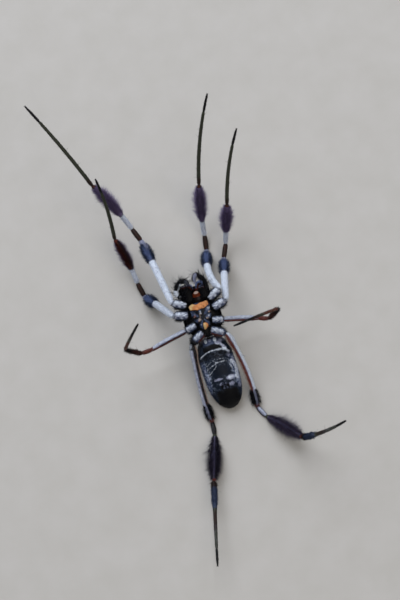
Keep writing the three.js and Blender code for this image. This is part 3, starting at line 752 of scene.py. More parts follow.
def chelicera_marks(share, turn):
    """A painted sheen near the tip of a black jaw: lilac and blue, and reddish to the rear."""
    sheen, rear = soft(share, 0.62, 0.74) * (1 - soft(share, 0.98, 1.0)), facing(turn, 180, 80, 25)
    return {"maroon": 0.4 * sheen * rear, "blue": 0.6 * sheen, "lilac": 0.75 * sheen * (1 - 0.5 * rear),
            "black": 0.95 - 0.95 * sheen}


def fang_marks(share, turn):
    """A fang darkens to its tip."""
    return {"black": 0.46 + 0.5 * soft(share, 0.75, 1)}


def labium_marks(x, y, share, out):
    """A pale tip on the red-brown lip, and black at its root and round the tip."""
    x = x - LABIUM.front[0]
    return {
        "black": 1 - soft(y, 3.6, 4.25) + 0.4 * soft(np.hypot(x, y - 4.3), 0.6, 0.95),
        "buff": spot(x, y, (0.05, 4.84), (0.55, 0.34), 0.5) * 0.72,
    }


def maxilla_marks(x, y, share, out):
    """Black mouth plates, reddish towards each other, with a painted reddish and lilac sheen at their
    bristly front.
    """
    inner, front = soft(-np.abs(x - MOUTH_SHIFT), -0.75, -0.3), soft(share, 0.72, 0.86)
    # The reddish inner side is their own colour; the maroon and lilac at the front are painted sheen.
    return {"maroon": inner * soft(share, 0.6, 0.9) * 0.5 + 0.38 * front,
            "lilac": 0.5 * between(share, 0.9, 0.98, 0.03), "black": 1 - 0.75 * front,
            "bristly": 0.25 + 0.75 * soft(share, 0.6, 0.9)}


def core_shape():
    """The soft dark skin between the back shell and the breastplate, where the legs grow."""
    def half(y, share, aside, out):
        full = fullness(share, 5.0, 2.4)
        across = CORE.width * carapace_half(y)[0] * full * aside
        return across, np.where(out > 0, CORE.belly, CORE.back) * full * out

    return body_shape(CORE, half, 60, 64, all_black, 0.8)


def pedicel_shape():
    """The waist, a short stalk that is slimmest half way."""
    def half(y, share, aside, out):
        radius = PEDICEL.width - 0.06 * np.sin(np.pi * share)
        return radius * aside, radius * out

    return body_shape(PEDICEL, half, 20, 24, all_black, 0.3)


# Pale lines on the belly of the abdomen, each with half its width and how strong it is.
BELLY_LINES = [
    ([(-2.9, -8.15), (-1.75, -7.52), (-0.65, -7.3), (0.45, -7.28), (1.45, -7.38)], 0.2, 0.72),
    ([(1.0, -7.33), (1.85, -7.45), (2.5, -7.75), (3.0, -8.25)], 0.3, 0.76),
    ([(-0.6, -9.35), (1.0, -9.24), (2.1, -9.45)], 0.12, 0.6),
    ([(-0.4, -9.78), (0.7, -9.9), (1.4, -9.86), (2.1, -10.0)], 0.24, 0.62),
    ([(0.2, -9.0), (-0.4, -9.12), (-1.2, -9.5), (-1.9, -9.95)], 0.12, 0.6),
    ([(0.5, -9.82), (0.0, -9.9), (-1.4, -10.4), (-2.15, -10.75)], 0.16, 0.68),
    ([(-0.3, -10.4), (-0.5, -10.8), (-1.2, -11.2), (-1.8, -11.65), (-2.35, -12.1)], 0.16, 0.68),
    ([(-2.05, -9.1), (-2.12, -10.2), (-2.3, -11.5), (-2.5, -12.8)], 0.13, 0.6),
    ([(2.9, -10.3), (3.35, -11.0), (3.45, -11.9), (3.25, -13.2), (3.15, -13.9)], 0.44, 0.82),
    ([(2.4, -10.6), (2.6, -11.3), (2.8, -12.0)], 0.2, 0.7),
]
# Pale blotches on it: the middle, the half sizes and how strong each is.
BELLY_BLOTCHES = [
    ((1.84, -13.42), (0.85, 0.46), 1.15), ((-0.7, -13.25), (1.0, 0.3), 0.7),
    ((1.68, -14.72), (0.72, 0.56), 0.6), ((-0.3, -14.35), (0.6, 0.5), 0.55),
]
# Bluish patches on it, given the same way: two beside the front spots, then down the left flank.
BELLY_PATCHES = [
    ((-0.1, -5.05), (0.5, 0.6), 0.52), ((1.95, -5.75), (0.6, 0.42), 0.62), ((2.75, -8.9), (0.5, 0.7), 0.5),
    ((3.35, -9.9), (0.35, 0.6), 0.56), ((3.1, -15.4), (0.4, 0.7), 0.5),
]


def strongest(x, y, listed, shaped):
    """The strongest of several listed patches or lines at each point."""
    return np.maximum.reduce([strength * shaped(x, y, at, half) for at, half, strength in listed])


def abdomen_marks(x, y, share, out):
    """Pale lines, blotches and spots on the dark belly, and the back golden brown with spots."""
    belly, back = soft(out, -0.25, 0.15), soft(-out, 0.15, 0.5)
    lines = strongest(x, y, BELLY_LINES, stroke)
    blotches, patches = (
        strongest(x, y, ovals, lambda *at: spot(*at, 0.75)) for ovals in (BELLY_BLOTCHES, BELLY_PATCHES)
    )
    front_pair = spot(x, y, (-0.9, -5.15), (0.3, 0.42)) + spot(x, y, (1.0, -5.22), (0.34, 0.42))
    lung_edge = stroke(x, y, [(1.05, -5.95), (1.6, -6.3), (2.1, -6.8), (2.55, -7.35)], 0.36)
    plate = stroke(x, y, [(-1.5, -6.85), (0.0, -6.5), (1.4, -6.85)], 0.5)
    right_row = sum(
        (0.8 - 0.1 * k) * spot(x, y, (-2.75 + 0.12 * k, -10.9 - 1.05 * k), (0.3, 0.42), 0.7)
        for k in range(4)
    )
    shield = between(y, -12.7, -10.5 - 0.15 * (x - 0.3) ** 2, 0.3) * (1 - soft(np.abs(x - 0.3), 1.2, 2.1))
    flank = soft(np.abs(x - 0.2), 1.9, 2.8) * between(y, -15.2, -9.6, 0.7)
    rim = soft(np.abs(x - 0.15), 2.3, 3.1) * between(y, -18.5, -7.6, 0.8)
    rear = soft(-y, 14.8, 16.4) * (1 - 0.75 * soft(np.abs(x - 0.3), 1.7, 2.6))
    front_edge = between(y, -6.0, -4.4, 0.3) * soft(x, -2.0, -1.2)
    back_spots = sum(
        spot(np.abs(x), y, (1.15 - 0.02 * k * k, -7.2 - 2.1 * k), (0.3, 0.26)) for k in range(6)
    )
    silvery = 0.64 * lines + front_pair + 0.5 * blotches + 0.42 * lung_edge
    bluish = 0.55 * lines + blotches + patches + 0.62 * lung_edge + 0.75 * right_row
    flecked = (1.35 * flank + 0.12) * (1 - rear) * (1 - shield) * (1 - plate)
    return {
        "white": belly * silvery + back * 0.7 * between(y, -6.2, -5.4, 0.25),
        "lilac": belly * bluish,
        "yellow": back * back_spots,
        "fleck": belly * flecked + 0.35 * back,
        "maroon": belly * (plate * 0.5 * soft(-x, -0.5, 1.2) + 0.25 * rear),
        "slate": belly * (front_edge + 0.5 * flank + 0.5 * rim + 0.3 * shield),
        "black": belly * (rear + 0.4 * shield + plate + 0.5 * between(y, -9.0, -7.6, 0.2)),
        "ochre": back * (1 - 0.5 * rear),
    }


def abdomen_shape():
    """The long abdomen, with the furrow across its belly, low lung covers, folds and dimples."""
    def half(y, share, aside, out):
        full = fullness(share, *ABDOMEN.bluntness)
        x = (ABDOMEN.width - COAT_DEPTH) * full * aside
        deep = (np.where(out > 0, ABDOMEN.belly, ABDOMEN.back) - COAT_DEPTH) * full
        furrow = 0.14 * np.exp(-(((y + 7.62 + 0.095 * x**2) / 0.16) ** 2)) * soft(out, 0.1, 0.5)
        lungs = 0.12 * spot(np.abs(x), y, (1.55, -6.5), (0.9, 0.75), 0.6) * (out > 0)
        folds = 0.02 * np.sin(y * 7.5 + 0.8 * np.sin(x)) * soft(np.abs(aside), 0.3, 0.8)
        rows = sum(np.exp(-(((y - at) / 0.28) ** 2)) for at in (-7.6, -10.0, -12.4))
        dimples = 0.1 * np.exp(-(((np.abs(x) - 0.75) / 0.22) ** 2)) * rows * (out < 0)
        return x + folds * aside, (deep - furrow + lungs + folds - dimples) * out

    return body_shape(ABDOMEN, half, 210, 160, abdomen_marks, 5)


# Each pair of spinnerets: how far aside and ahead of their middle they stand, and their radius.
SPINNERETS = ((0.36, 0.42, 0.29), (0.24, 0.0, 0.19), (0.36, -0.42, 0.27))
SPINNERET_TAPER = [[0, 1.0], [0.3, 0.98], [0.42, 0.86], [0.5, 0.88], [0.8, 0.72], [0.93, 0.5], [1, 0.1]]


def spinneret_shapes():
    """Three pairs of short finger-like spinnerets on a low mound, at the belly of the abdomen."""
    base = np.add(ABDOMEN.front, np.subtract(ABDOMEN.rear, ABDOMEN.front) * SPINNERETS_ALONG)
    base[2] += ABDOMEN.belly * fullness(np.array(1 - SPINNERETS_ALONG), *ABDOMEN.bluntness)

    def half(y, share, aside, out):
        full = fullness(share, 2, 2)
        return 0.93 * full * aside, 0.45 * full * out

    mound = SimpleNamespace(rear=base - (0, 0.95, 0.15), front=base + (0, 0.95, -0.15))
    shapes = [body_shape(mound, half, 24, 32, lambda *at: {"black": 0.8}, 0.3)]
    for aside, ahead, radius in SPINNERETS:
        pairs = [[share, radius * size] for share, size in SPINNERET_TAPER]
        for side in SIDES.values():
            foot = base + (side * (aside + 0.06), ahead, -0.3)
            tip = base + (side * (aside - 0.14), ahead * 1.05, 0.76)
            line = [foot, (foot + tip) / 2, tip]
            finger = horn_shape(line, 1, pairs, 24, 16, lambda *at: {"black": 0.3, "lilac": 0.37}, 0.15)
            shapes.append(finger)
    return shapes


carapace, sternum = carapace_shape(), sternum_shape()
abdomen, core, pedicel = abdomen_shape(), core_shape(), pedicel_shape()
spinnerets = spinneret_shapes()
palps = {
    name: horn_shape(
        PALPS[name], side, PALP_THICKNESS, 120, 18, lambda share, turn: palp_marks(share, turn, pale), 0.6
    )
    for (name, side), pale in zip(SIDES.items(), (0.8, 0.2))
}
chelicerae = {
    name: horn_shape(CHELICERA, side, CHELICERA_THICKNESS, 48, 40, chelicera_marks, shift=MOUTH_SHIFT)
    for name, side in SIDES.items()
}
fangs = {
    name: horn_shape(FANG, side, FANG_TAPER, 30, 16, fang_marks, shift=MOUTH_SHIFT)
    for name, side in SIDES.items()
}
labium = plate_shape(LABIUM, (3, 2.1), labium_marks)
maxillae = {name: plate_shape(plate, (4.5, 5.5), maxilla_marks) for name, plate in MAXILLAE.items()}

# ---------- finishes ----------

# What each marking is: the colour of bare cuticle or of the hairs lying on it.
COLOURS = {
    "white": "#dde6f3", "lilac": "#9397b0", "maroon": "#652b20", "brown": "#2d201a",
    "black": "#060609", "slate": "#3a4560", "ochre": "#6b5330", "orange": "#cf8a56",
    "yellow": "#cbaa76", "blue": "#6676a2", "buff": "#b39e92", "plum": "#74668b",
}
MARKS_IN_ORDER = (
    "ochre", "slate", "brown", "plum", "maroon", "lilac", "orange", "yellow", "buff", "black", "blue",
    "white",
)
# How much of a marking a point holds where it starts to show, and where it shows in full.
MARK_EDGE = (0.34, 0.62)


def linear(colour):
    """A hex sRGB colour as the linear RGBA that a shader takes."""
    parts = np.array([int(colour[k : k + 2], 16) / 255 for k in (1, 3, 5)])
    parts = np.where(parts <= 0.04045, parts / 12.92, ((parts + 0.055) / 1.055) ** 2.4)
    return (*parts.tolist(), 1.0)


def add(tree, kind, inputs=None, **settings):
    """A node with its settings, and its inputs by name or number: a value, or a socket to link."""
    node = tree.nodes.new("ShaderNode" + kind)
    for name, value in settings.items():
        setattr(node, name, value)
    for name, value in (inputs or {}).items():
        if isinstance(value, bpy.types.NodeSocket):
            tree.links.new(value, node.inputs[name])
        else:
            node.inputs[name].default_value = value
    return node


MIX_A, MIX_B, MIX_COLOUR = 6, 7, 2


def mix(tree, share, first, second, blend="MIX"):
    """The colour between two, each a hex colour or a socket."""
    first, second = (linear(c) if isinstance(c, str) else c for c in (first, second))
    node = add(tree, "Mix", {0: share, MIX_A: first, MIX_B: second}, data_type="RGBA", blend_type=blend)
    return node.outputs[MIX_COLOUR]


def per_mm(size):
    """The scale of a pattern whose features are this many millimetres across."""
    return 1 / (size * MM)


def noise(tree, size, detail=2.0):
    """A cloudy pattern whose features are that many millimetres across."""
    place = add(tree, "TexCoord").outputs["Object"]
    return add(tree, "TexNoise", {"Vector": place, "Scale": per_mm(size), "Detail": detail}).outputs["Fac"]


def streaks(tree, long, wide):
    """A cloudy pattern whose features, in millimetres, are long and wide along the hairs' lie."""
    lie = add(tree, "Attribute", attribute_name="lie").outputs["Vector"]
    place = add(tree, "VectorMath", {0: lie, 1: (1 / long, 1 / wide, 1.0)}, operation="MULTIPLY")
    return add(tree, "TexNoise", {"Vector": place.outputs[0], "Scale": 1.0, "Detail": 3.0}).outputs["Fac"]


def ranged(tree, value, low, high, new_low=0.0, new_high=1.0):
    """A value brought from one range to another, and kept within that."""
    inputs = {"Value": value, "From Min": low, "From Max": high, "To Min": new_low, "To Max": new_high}
    return add(tree, "MapRange", inputs).outputs[0]


def swing(tree, pattern, low=0.0, high=1.0):
    """A noise pattern, which keeps mostly to 0.3 to 0.7, spread between two values."""
    return ranged(tree, pattern, 0.3, 0.7, low, high)


def marked(tree, base, names, pattern, uneven):
    """The colour of the markings that a piece's points hold, over a base, with uneven edges."""
    ragged, colour = swing(tree, pattern, -uneven, uneven), linear(base)
    for name in (n for n in MARKS_IN_ORDER if n in names):
        held = add(tree, "Attribute", attribute_name=name).outputs["Fac"]
        inside = add(tree, "Math", {0: held, 1: ragged}, operation="ADD").outputs[0]
        colour = mix(tree, ranged(tree, inside, *MARK_EDGE), colour, COLOURS[name])
    return colour


def material(name, ior=1.55, **values):
    """A new material and its Principled node, with what is the same all over set on its sockets."""
    made = bpy.data.materials.new(name)
    made.use_nodes = True
    shader = made.node_tree.nodes["Principled BSDF"]
    shader.inputs["IOR"].default_value = ior
    for socket, value in values.items():
        shader.inputs[socket.replace("_", " ")].default_value = value
    return made, made.node_tree, shader


def finish_with(tree, shader, colour, roughness, bumps=()):
    """Links a colour, roughness as (pattern, least, most), and bumps, each as (height, distance in
    millimetres, strength), to a shader."""
    tree.links.new(colour, shader.inputs["Base Color"])
    tree.links.new(swing(tree, *roughness), shader.inputs["Roughness"])
    below = {}
    for height, distance, strength in bumps:
        inputs = {"Height": height, "Distance": distance * MM, "Strength": strength, **below}
        below = {"Normal": add(tree, "Bump", inputs).outputs["Normal"]}
        tree.links.new(below["Normal"], shader.inputs["Normal"])


def leg_cuticle():
    """Arthropod cuticle, sclerotised and waxy: satin, with hairs too short to model lying along
    the leg, which draw fine streaks and break up its shine."""
    made, tree, shader = material("leg_cuticle", Specular_IOR_Level=0.15)
    hairs = streaks(tree, 0.9, 0.07)
    colour = marked(tree, "#3b3e31", LEG_MARKS, streaks(tree, 0.6, 0.18), 0.2)
    colour = mix(tree, ranged(tree, hairs, 0.4, 0.75, 0.0, 0.4), colour, "#1b1d26")
    finish_with(tree, shader, colour, (hairs, 0.3, 0.55),
                ((hairs, 0.03, 0.6), (noise(tree, 0.09), 0.01, 0.3)))
    return made


def abdomen_skin():
    """Thin unhardened cuticle, stretched over the abdomen: it shows guanine flecks through it, and
    has a soft sheen and a fine grain of folds."""
    made, tree, shader = material("abdomen_skin", Specular_IOR_Level=0.12)
    place = add(tree, "TexCoord").outputs["Object"]
    bent = add(tree, "TexNoise", {"Vector": place, "Scale": per_mm(0.5), "Detail": 3.0}).outputs["Color"]
    shift = [0.7 * MM] * 3
    place = add(tree, "VectorMath", {0: bent, 1: shift, 2: place}, operation="MULTIPLY_ADD").outputs[0]
    cells = add(tree, "TexVoronoi", {"Vector": place, "Scale": per_mm(0.55)}, feature="DISTANCE_TO_EDGE")
    shown = ranged(tree, cells.outputs["Distance"], 0.05, 0.16, 1.0, 0.0)
    clouds = ranged(tree, noise(tree, 0.8, 4.0), 0.42, 0.62)
    for factor in (clouds, add(tree, "Attribute", attribute_name="fleck").outputs["Fac"]):
        shown = add(tree, "Math", {0: shown, 1: factor}, operation="MULTIPLY").outputs[0]
    names = ("ochre", "slate", "maroon", "lilac", "black", "white", "yellow")
    colour = mix(tree, shown, marked(tree, "#131c2a", names, noise(tree, 0.3, 4.0), 0.15), "#a3b0c9")
    grain = noise(tree, 0.12, 3.0)
    wrinkles = streaks(tree, 0.16, 0.8)
    finish_with(tree, shader, colour, (grain, 0.3, 0.5), ((wrinkles, 0.04, 0.5), (grain, 0.015, 0.4)))
    return made


def shell_cuticle():
    """Thick hardened cuticle of the back shell and the breastplate: dark and glossy under the
    hairs, with fine pits where they grow."""
    made, tree, shader = material("shell_cuticle", Specular_IOR_Level=0.15)
    place = add(tree, "TexCoord").outputs["Object"]
    pits = add(tree, "TexVoronoi", {"Vector": place, "Scale": per_mm(0.16)}).outputs["Distance"]
    waves = noise(tree, 0.35, 4.0)
    names = ("slate", "brown", "maroon", "orange", "yellow", "buff", "black", "white")
    colour = marked(tree, "#090b12", names, noise(tree, 0.55, 4.0), 0.2)
    colour = mix(tree, ranged(tree, waves, 0.52, 0.68, 0.0, 0.4), colour, "#222b3f")
    finish_with(tree, shader, colour, (waves, 0.22, 0.42),
                ((ranged(tree, pits, 0.0, 0.35), 0.02, 0.5), (waves, 0.02, 0.4)))
    return made


def mouth_cuticle():
    """Black sclerotised cuticle of jaws and mouth plates: polished, brown where it is thin."""
    made, tree, shader = material("mouth_cuticle", Specular_IOR_Level=0.05)
    names = ("slate", "maroon", "lilac", "black", "blue")
    colour = marked(tree, "#0a0809", names, noise(tree, 0.3, 4.0), 0.15)
    finish_with(tree, shader, colour, (noise(tree, 0.4, 3.0), 0.22, 0.42), ((noise(tree, 0.1), 0.008, 0.4),))
    return made


def amber_cuticle():
    """Thinner red-brown cuticle of the lip and fangs: light goes a little way in, so it glows."""
    made, tree, shader = material(
        "amber_cuticle", Specular_IOR_Level=0.12, Subsurface_Weight=0.05, Subsurface_Scale=0.4 * MM
    )
    waves = noise(tree, 0.3, 3.0)
    colour = marked(tree, "#551e04", ("buff", "black"), noise(tree, 0.3, 4.0), 0.1)
    colour = mix(tree, ranged(tree, waves, 0.4, 0.75, 0.0, 0.4), colour, "#2c0f05")
    finish_with(tree, shader, colour, (waves, 0.18, 0.32), ((noise(tree, 0.09), 0.006, 0.4),))
    return made


def eye_lens():
    """The smooth clear cuticle of a simple eye over its dark cup: a black bead with a sharp glint."""
    made, tree, shader = material("eye_lens", Coat_Weight=1.0, Coat_Roughness=0.03)
    depth = noise(tree, 0.12)
    finish_with(tree, shader, mix(tree, swing(tree, depth), "#08080b", "#1b1712"), (depth, 0.05, 0.1))
    return made


def setae(name, base, marks, roughness, tip_colour, tip_share):
    """Hollow chitin hairs: they take the marking at their root, and pale or darken to the tip."""
    made, tree, shader = material(name, Specular_IOR_Level=0.06)
    tip = add(tree, "Attribute", attribute_name="tip").outputs["Fac"]
    tone = add(tree, "Attribute", attribute_name="tone").outputs["Fac"]
    colour = marked(tree, base, marks, noise(tree, 0.4, 4.0), 0.12)
    colour = mix(tree, ranged(tree, tip, 0.2, 1.0, 0.0, tip_share), colour, tip_colour)
    shade = add(tree, "CombineColor", {0: tone, 1: tone, 2: tone}).outputs[0]
    colour = mix(tree, 1.0, colour, shade, "MULTIPLY")
    finish_with(tree, shader, colour, (noise(tree, 0.3), roughness - 0.1, roughness + 0.1))
    return made


def floor_board():
    """Matt painted board, pale and warm grey, with the faint mottle of a roller."""
    made, tree, shader = material("floor_board", 1.5, Specular_IOR_Level=0.2)
    mottle = noise(tree, 6.0, 3.0)
    colour = mix(tree, swing(tree, mottle), "#bdbab4", "#c2bfba")
    finish_with(tree, shader, colour, (mottle, 0.75, 0.85), ((noise(tree, 0.8), 0.01, 0.2),))
    return made


LEG, BELLY, SHELL, MOUTH, AMBER, EYE = (
    leg_cuticle(), abdomen_skin(), shell_cuticle(), mouth_cuticle(), amber_cuticle(), eye_lens()
)
SILVER_HAIR = setae("silver_setae", "#6f6b68", LEG_MARKS, 0.42, "#eef1f6", 0.35)
# Black hairs pale to a bluish grey at the tip, which also stands for their painted blue sheen.
BLACK_HAIR = setae(
    "black_setae", "#2a2b24", set(LEG_MARKS) - {"buff", "white"}, 0.45, "#2c3040", 0.25
)
BODY_HAIR = setae(
    "body_setae", "#0e1219", set(MARKS_IN_ORDER) - {"brown", "plum", "blue"}, 0.45, "#56617a", 0.12
)

# ---------- making pieces ----------

EVERY_MARK = sorted(set(MARKS_IN_ORDER) | {"fleck"})


def attribute_kind(mark):
    """How a mesh holds a marking, or the way hairs lie: type of attribute, its key and its width."""
    return ("FLOAT_VECTOR", "vector", 3) if mark == "lie" else ("FLOAT", "value", 1)


def mesh_piece(name, points, groups, marks, materials, slots=None):
    """An object from points in millimetres. groups is [(corners of faces, their map places)]."""
    mesh = bpy.data.meshes.new(name)
    mesh.vertices.add(len(points))
    mesh.vertices.foreach_set("co", (points * MM).astype(np.float32).ravel())
    corners = np.concatenate([g[0].ravel() for g in groups])
    sizes = np.concatenate([np.full(len(g[0]), g[0].shape[1]) for g in groups])
    mesh.loops.add(len(corners))
    mesh.loops.foreach_set("vertex_index", corners.astype(np.int32))
    mesh.polygons.add(len(sizes))
    mesh.polygons.foreach_set("loop_start", np.r_[0, np.cumsum(sizes)[:-1]].astype(np.int32))
    if slots is not None:
        mesh.polygons.foreach_set("material_index", slots.astype(np.int32))
    mesh.polygons.foreach_set("use_smooth", np.ones(len(sizes), bool))
    layer = mesh.uv_layers.new(name="OFBake")
    places = np.concatenate([g[1].reshape(-1, 2) for g in groups])
    layer.data.foreach_set("uv", places.astype(np.float32).ravel())
    for mark, values in marks.items():
        kind, key, _ = attribute_kind(mark)
        held = mesh.attributes.new(mark, kind, "POINT")
        held.data.foreach_set(key, values.astype(np.float32).ravel())
    mesh.update(calc_edges=True)
    mesh.validate()
    for finish in materials:
        mesh.materials.append(finish)
    piece = bpy.data.objects.new(name, mesh)
    bpy.context.scene.collection.objects.link(piece)
    return piece


def woven(name, shapes, materials, kinds=None, known=False):
    """One piece from several shapes. kinds says which material each shape wears."""
    points, groups, slots, start = [], [], [], 0
    for k, shape in enumerate(shapes):
        for faces, places in shape.faces():
            groups.append((faces + start, places))
            slots.append(np.full(len(faces), kinds[k] if kinds else 0))
        points.append(with_ends(shape.rings))
        start += len(points[-1])
    marks = {mark: np.concatenate([s.values(mark) for s in shapes]) for mark in EVERY_MARK}
    marks["lie"] = np.vstack([with_ends(s.lie) for s in shapes])
    if known:
        marks["known"] = np.ones(start)
    return mesh_piece(name, np.vstack(points), groups, marks, materials, np.concatenate(slots))


def as_one_skin(name, shapes, materials, kinds):
    """The union of overlapping shapes as one closed surface that keeps their markings."""
    parts = [woven(f"{name}_{k}", [s], materials, [kinds[k]], True) for k, s in enumerate(shapes)]
    whole = parts[0]
    for part in parts[1:]:
        join = whole.modifiers.new(part.name, "BOOLEAN")
        join.operation, join.solver, join.object = "UNION", "MANIFOLD", part
    seen = bpy.context.evaluated_depsgraph_get()
    mesh = bpy.data.meshes.new_from_object(
        whole.evaluated_get(seen), preserve_all_data_layers=True, depsgraph=seen
    )
    whole.modifiers.clear()
    old = whole.data
    whole.data = mesh
    bpy.data.meshes.remove(old)
    for part in parts[1:]:
        bpy.data.objects.remove(part)
    whole.name = mesh.name = name
    mend_marks(mesh)
    mesh.polygons.foreach_set("use_smooth", np.ones(len(mesh.polygons), bool))
    return whole


def mend_marks(mesh):
    """Points made where two shapes meet hold no markings yet: they take their nearest neighbour's."""
    count = len(mesh.vertices)
    known, places = np.empty(count, np.float32), np.empty(count * 3, np.float32)
    mesh.attributes["known"].data.foreach_get("value", known)
    mesh.vertices.foreach_get("co", places)
    places = places.reshape(-1, 3)
    old, new = np.flatnonzero(known >= 0.5), np.flatnonzero(known < 0.5)
    tree = kdtree.KDTree(len(old))
    for k in old:
        tree.insert(places[k], int(k))
    tree.balance()
    nearest = np.array([tree.find(places[k])[1] for k in new], int)
    for name in [*EVERY_MARK, "lie"]:
        _, key, width = attribute_kind(name)
        data, values = mesh.attributes[name].data, np.empty(count * width, np.float32)
        data.foreach_get(key, values)
        values = values.reshape(count, width)
        values[new] = values[nearest]
        data.foreach_set(key, values.ravel())
    mesh.attributes.remove(mesh.attributes["known"])


# ---------- the coat ----------


def sow(shape, density, chance):
    """Roots of hairs scattered over a shape. density gives hairs per square millimetre at each
    point of its grid."""
    r = shape.rings
    across = np.roll(r, -1, 1)
    area = np.linalg.norm(np.cross(across[1:] - r[:-1], r[1:] - across[:-1]), axis=-1) / 2
    near = np.broadcast_to(density, r.shape[:2])
    far = np.roll(near, -1, 1)
    counts = chance.poisson(area * (near[:-1] + near[1:] + far[:-1] + far[1:]) / 4)
    i, j = np.nonzero(counts)
    times = counts[i, j]
    i, j = np.repeat(i, times), np.repeat(j, times)
    a, b = chance.random(len(i)), chance.random(len(i))
    k = (j + 1) % r.shape[1]

    def blended(grid):
        down, over = (share.reshape(-1, *[1] * (grid.ndim - 2)) for share in (a, b))
        return (grid[i, j] * (1 - down) * (1 - over) + grid[i + 1, j] * down * (1 - over)
                + grid[i + 1, k] * down * over + grid[i, k] * (1 - down) * over)

    return SimpleNamespace(
        place=blended(r), outward=unit(blended(shape.outward)), along=unit(blended(shape.along)),
        map_place=shape.map_place(i + a, j + b),
        marks={name: blended(values) for name, values in shape.marks.items()},
    )


# A hair is a closed three-sided spike: a ring at its root, one half way and a tip.
HAIR_FACES = np.array([
    (0, 1, 4), (0, 4, 3), (1, 2, 5), (1, 5, 4), (2, 0, 3), (2, 3, 5),
    (3, 4, 6), (4, 5, 6), (5, 3, 6), (0, 2, 1),
])
HAIR_TIP = np.array([0, 0, 0, 0.5, 0.5, 0.5, 1.0])
# How short the shortest hairs are and how much longer others get, as shares of their kind's
# length, how much their leans differ, and the range of leans, in degrees.
LENGTHS = (0.6, 0.6)
LEAN_SPREAD = 0.35
LEAN_RANGE = (3, 88)
# How much slimmer a hair is half way.
SLIM_MIDDLE = 0.72
# How deep a root sits in the skin, and how close hairs come to the floor, in millimetres.
ROOT_DEPTH = 0.03
HAIR_ABOVE_FLOOR = 0.01
# Where the corners of a hair lie on its piece's map, round the place of its root.
TUFT_ON_MAP = 0.003 * np.array(
    [(-0.5, -0.5), (0.5, -0.5), (0.0, -0.35), (-0.35, 0.1), (0.35, 0.1), (0.0, 0.2), (0.0, 0.5)]
)


def hairs(roots, chance, length, width, lean, scatter, droop, tone):
    """Hairs on roots: length and width in millimetres, and in degrees how far each leans out from
    the skin, how much its heading scatters and how much it droops back to the skin by its tip."""
    n = len(roots.place)
    length = (length * (LENGTHS[0] + LENGTHS[1] * chance.random(n)))[:, None]
    lean = np.clip(lean * (1 + LEAN_SPREAD * chance.standard_normal(n)), *LEAN_RANGE)
    lean = np.radians(lean)[:, None]
    aside = unit(np.cross(roots.outward, roots.along))
    sway = (np.radians(scatter) * chance.standard_normal(n))[:, None]
    lying = roots.along * np.cos(sway) + aside * np.sin(sway)
    lying = unit(lying - roots.outward * (lying * roots.outward).sum(-1, keepdims=True))
    lower, upper = (lying * np.cos(t) + roots.outward * np.sin(t) for t in (lean, lean - np.radians(droop)))
    root = roots.place - roots.outward * ROOT_DEPTH
    middle = root + lower * (0.5 * length)
    tip = middle + upper * (0.5 * length)
    side = unit(np.cross(lying, lower + 1e-6) + aside * 0.5)
    depth = unit(np.cross(lower, side))
    rings = [
        centre + width * 0.5 * size * (np.cos(turn) * side + np.sin(turn) * depth)
        for centre, size in ((root, 1.0), (middle, SLIM_MIDDLE)) for turn in turns(3)
    ]
    points = np.stack([*rings, tip], 1)
    points[..., 2] = np.maximum(points[..., 2], HAIR_ABOVE_FLOOR)
    corners = len(HAIR_TIP)
    marks = {name: np.repeat(v, corners) for name, v in roots.marks.items() if name in MARKS_IN_ORDER}
    marks["tip"] = np.tile(HAIR_TIP, n)
    marks["tone"] = np.repeat(1 + tone * (2 * chance.random(n) - 1), corners)
    places = roots.map_place[:, None] + TUFT_ON_MAP
    return SimpleNamespace(points=points.reshape(-1, 3), marks=marks, places=places)


def grown(shape, kind, where, chance):
    """Hairs of a kind on a shape. where says what share of their density they reach at each point."""
    density, length, *form = HAIRS[kind]
    roots = sow(shape, density * where, chance)
    return hairs(roots, chance, length or roots.marks["reach"], *form)


def coat(name, chance, wanted, finish, slot):
    """One piece of coat. wanted lists a shape, a kind of hair and where it grows for each lot."""
    lots = [grown(shape, kind, where, chance) for shape, kind, where in wanted]
    points = np.vstack([lot.points for lot in lots])
    places = np.vstack([lot.places for lot in lots])
    names = sorted(set().union(*(lot.marks for lot in lots)))
    marks = {
        mark: np.concatenate([lot.marks.get(mark, np.zeros(len(lot.points))) for lot in lots])
        for mark in names
    }
    faces = (HAIR_FACES + len(HAIR_TIP) * np.arange(len(places))[:, None, None]).reshape(-1, 3)
    face_map = places[:, HAIR_FACES].reshape(-1, 3, 2)
    fixed(mesh_piece(name, points, [(faces, face_map)], marks, [finish]), slot)


def fixed(piece, slot, *nodes):
    """Ties a piece to the body and hides the solids that it stands for. slot is not used."""
    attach(piece, "root")
    if nodes:
        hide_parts(*nodes)


def own_piece(name, shapes, finish, slot, *nodes):
    """A hard piece of its own: a plate, a jaw, a lens or the claws."""
    lay_out(shapes)
    fixed(woven(name, shapes, [finish]), slot, *nodes)


# ---------- skin and shell ----------

ON_LEG, ON_BELLY = 0, 1
skin_shapes = [core, pedicel, abdomen, *spinnerets, *legs.values(), *palps.values()]
skin_kinds = [ON_BELLY] * (3 + len(spinnerets)) + [ON_LEG] * (len(legs) + len(palps))
lay_out(skin_shapes)
skin = as_one_skin("skin", skin_shapes, [LEG, BELLY], skin_kinds)
leg_nodes = [f"leg_{name}_{part}" for name in POSES for part in ("coxa", "femur", "tibia", "foot")]
palp_nodes = [f"palp_{side}" for side in SIDES]
fixed(skin, "leg_cuticle", *leg_nodes, *palp_nodes, "pedicel", "abdomen", "spinnerets")

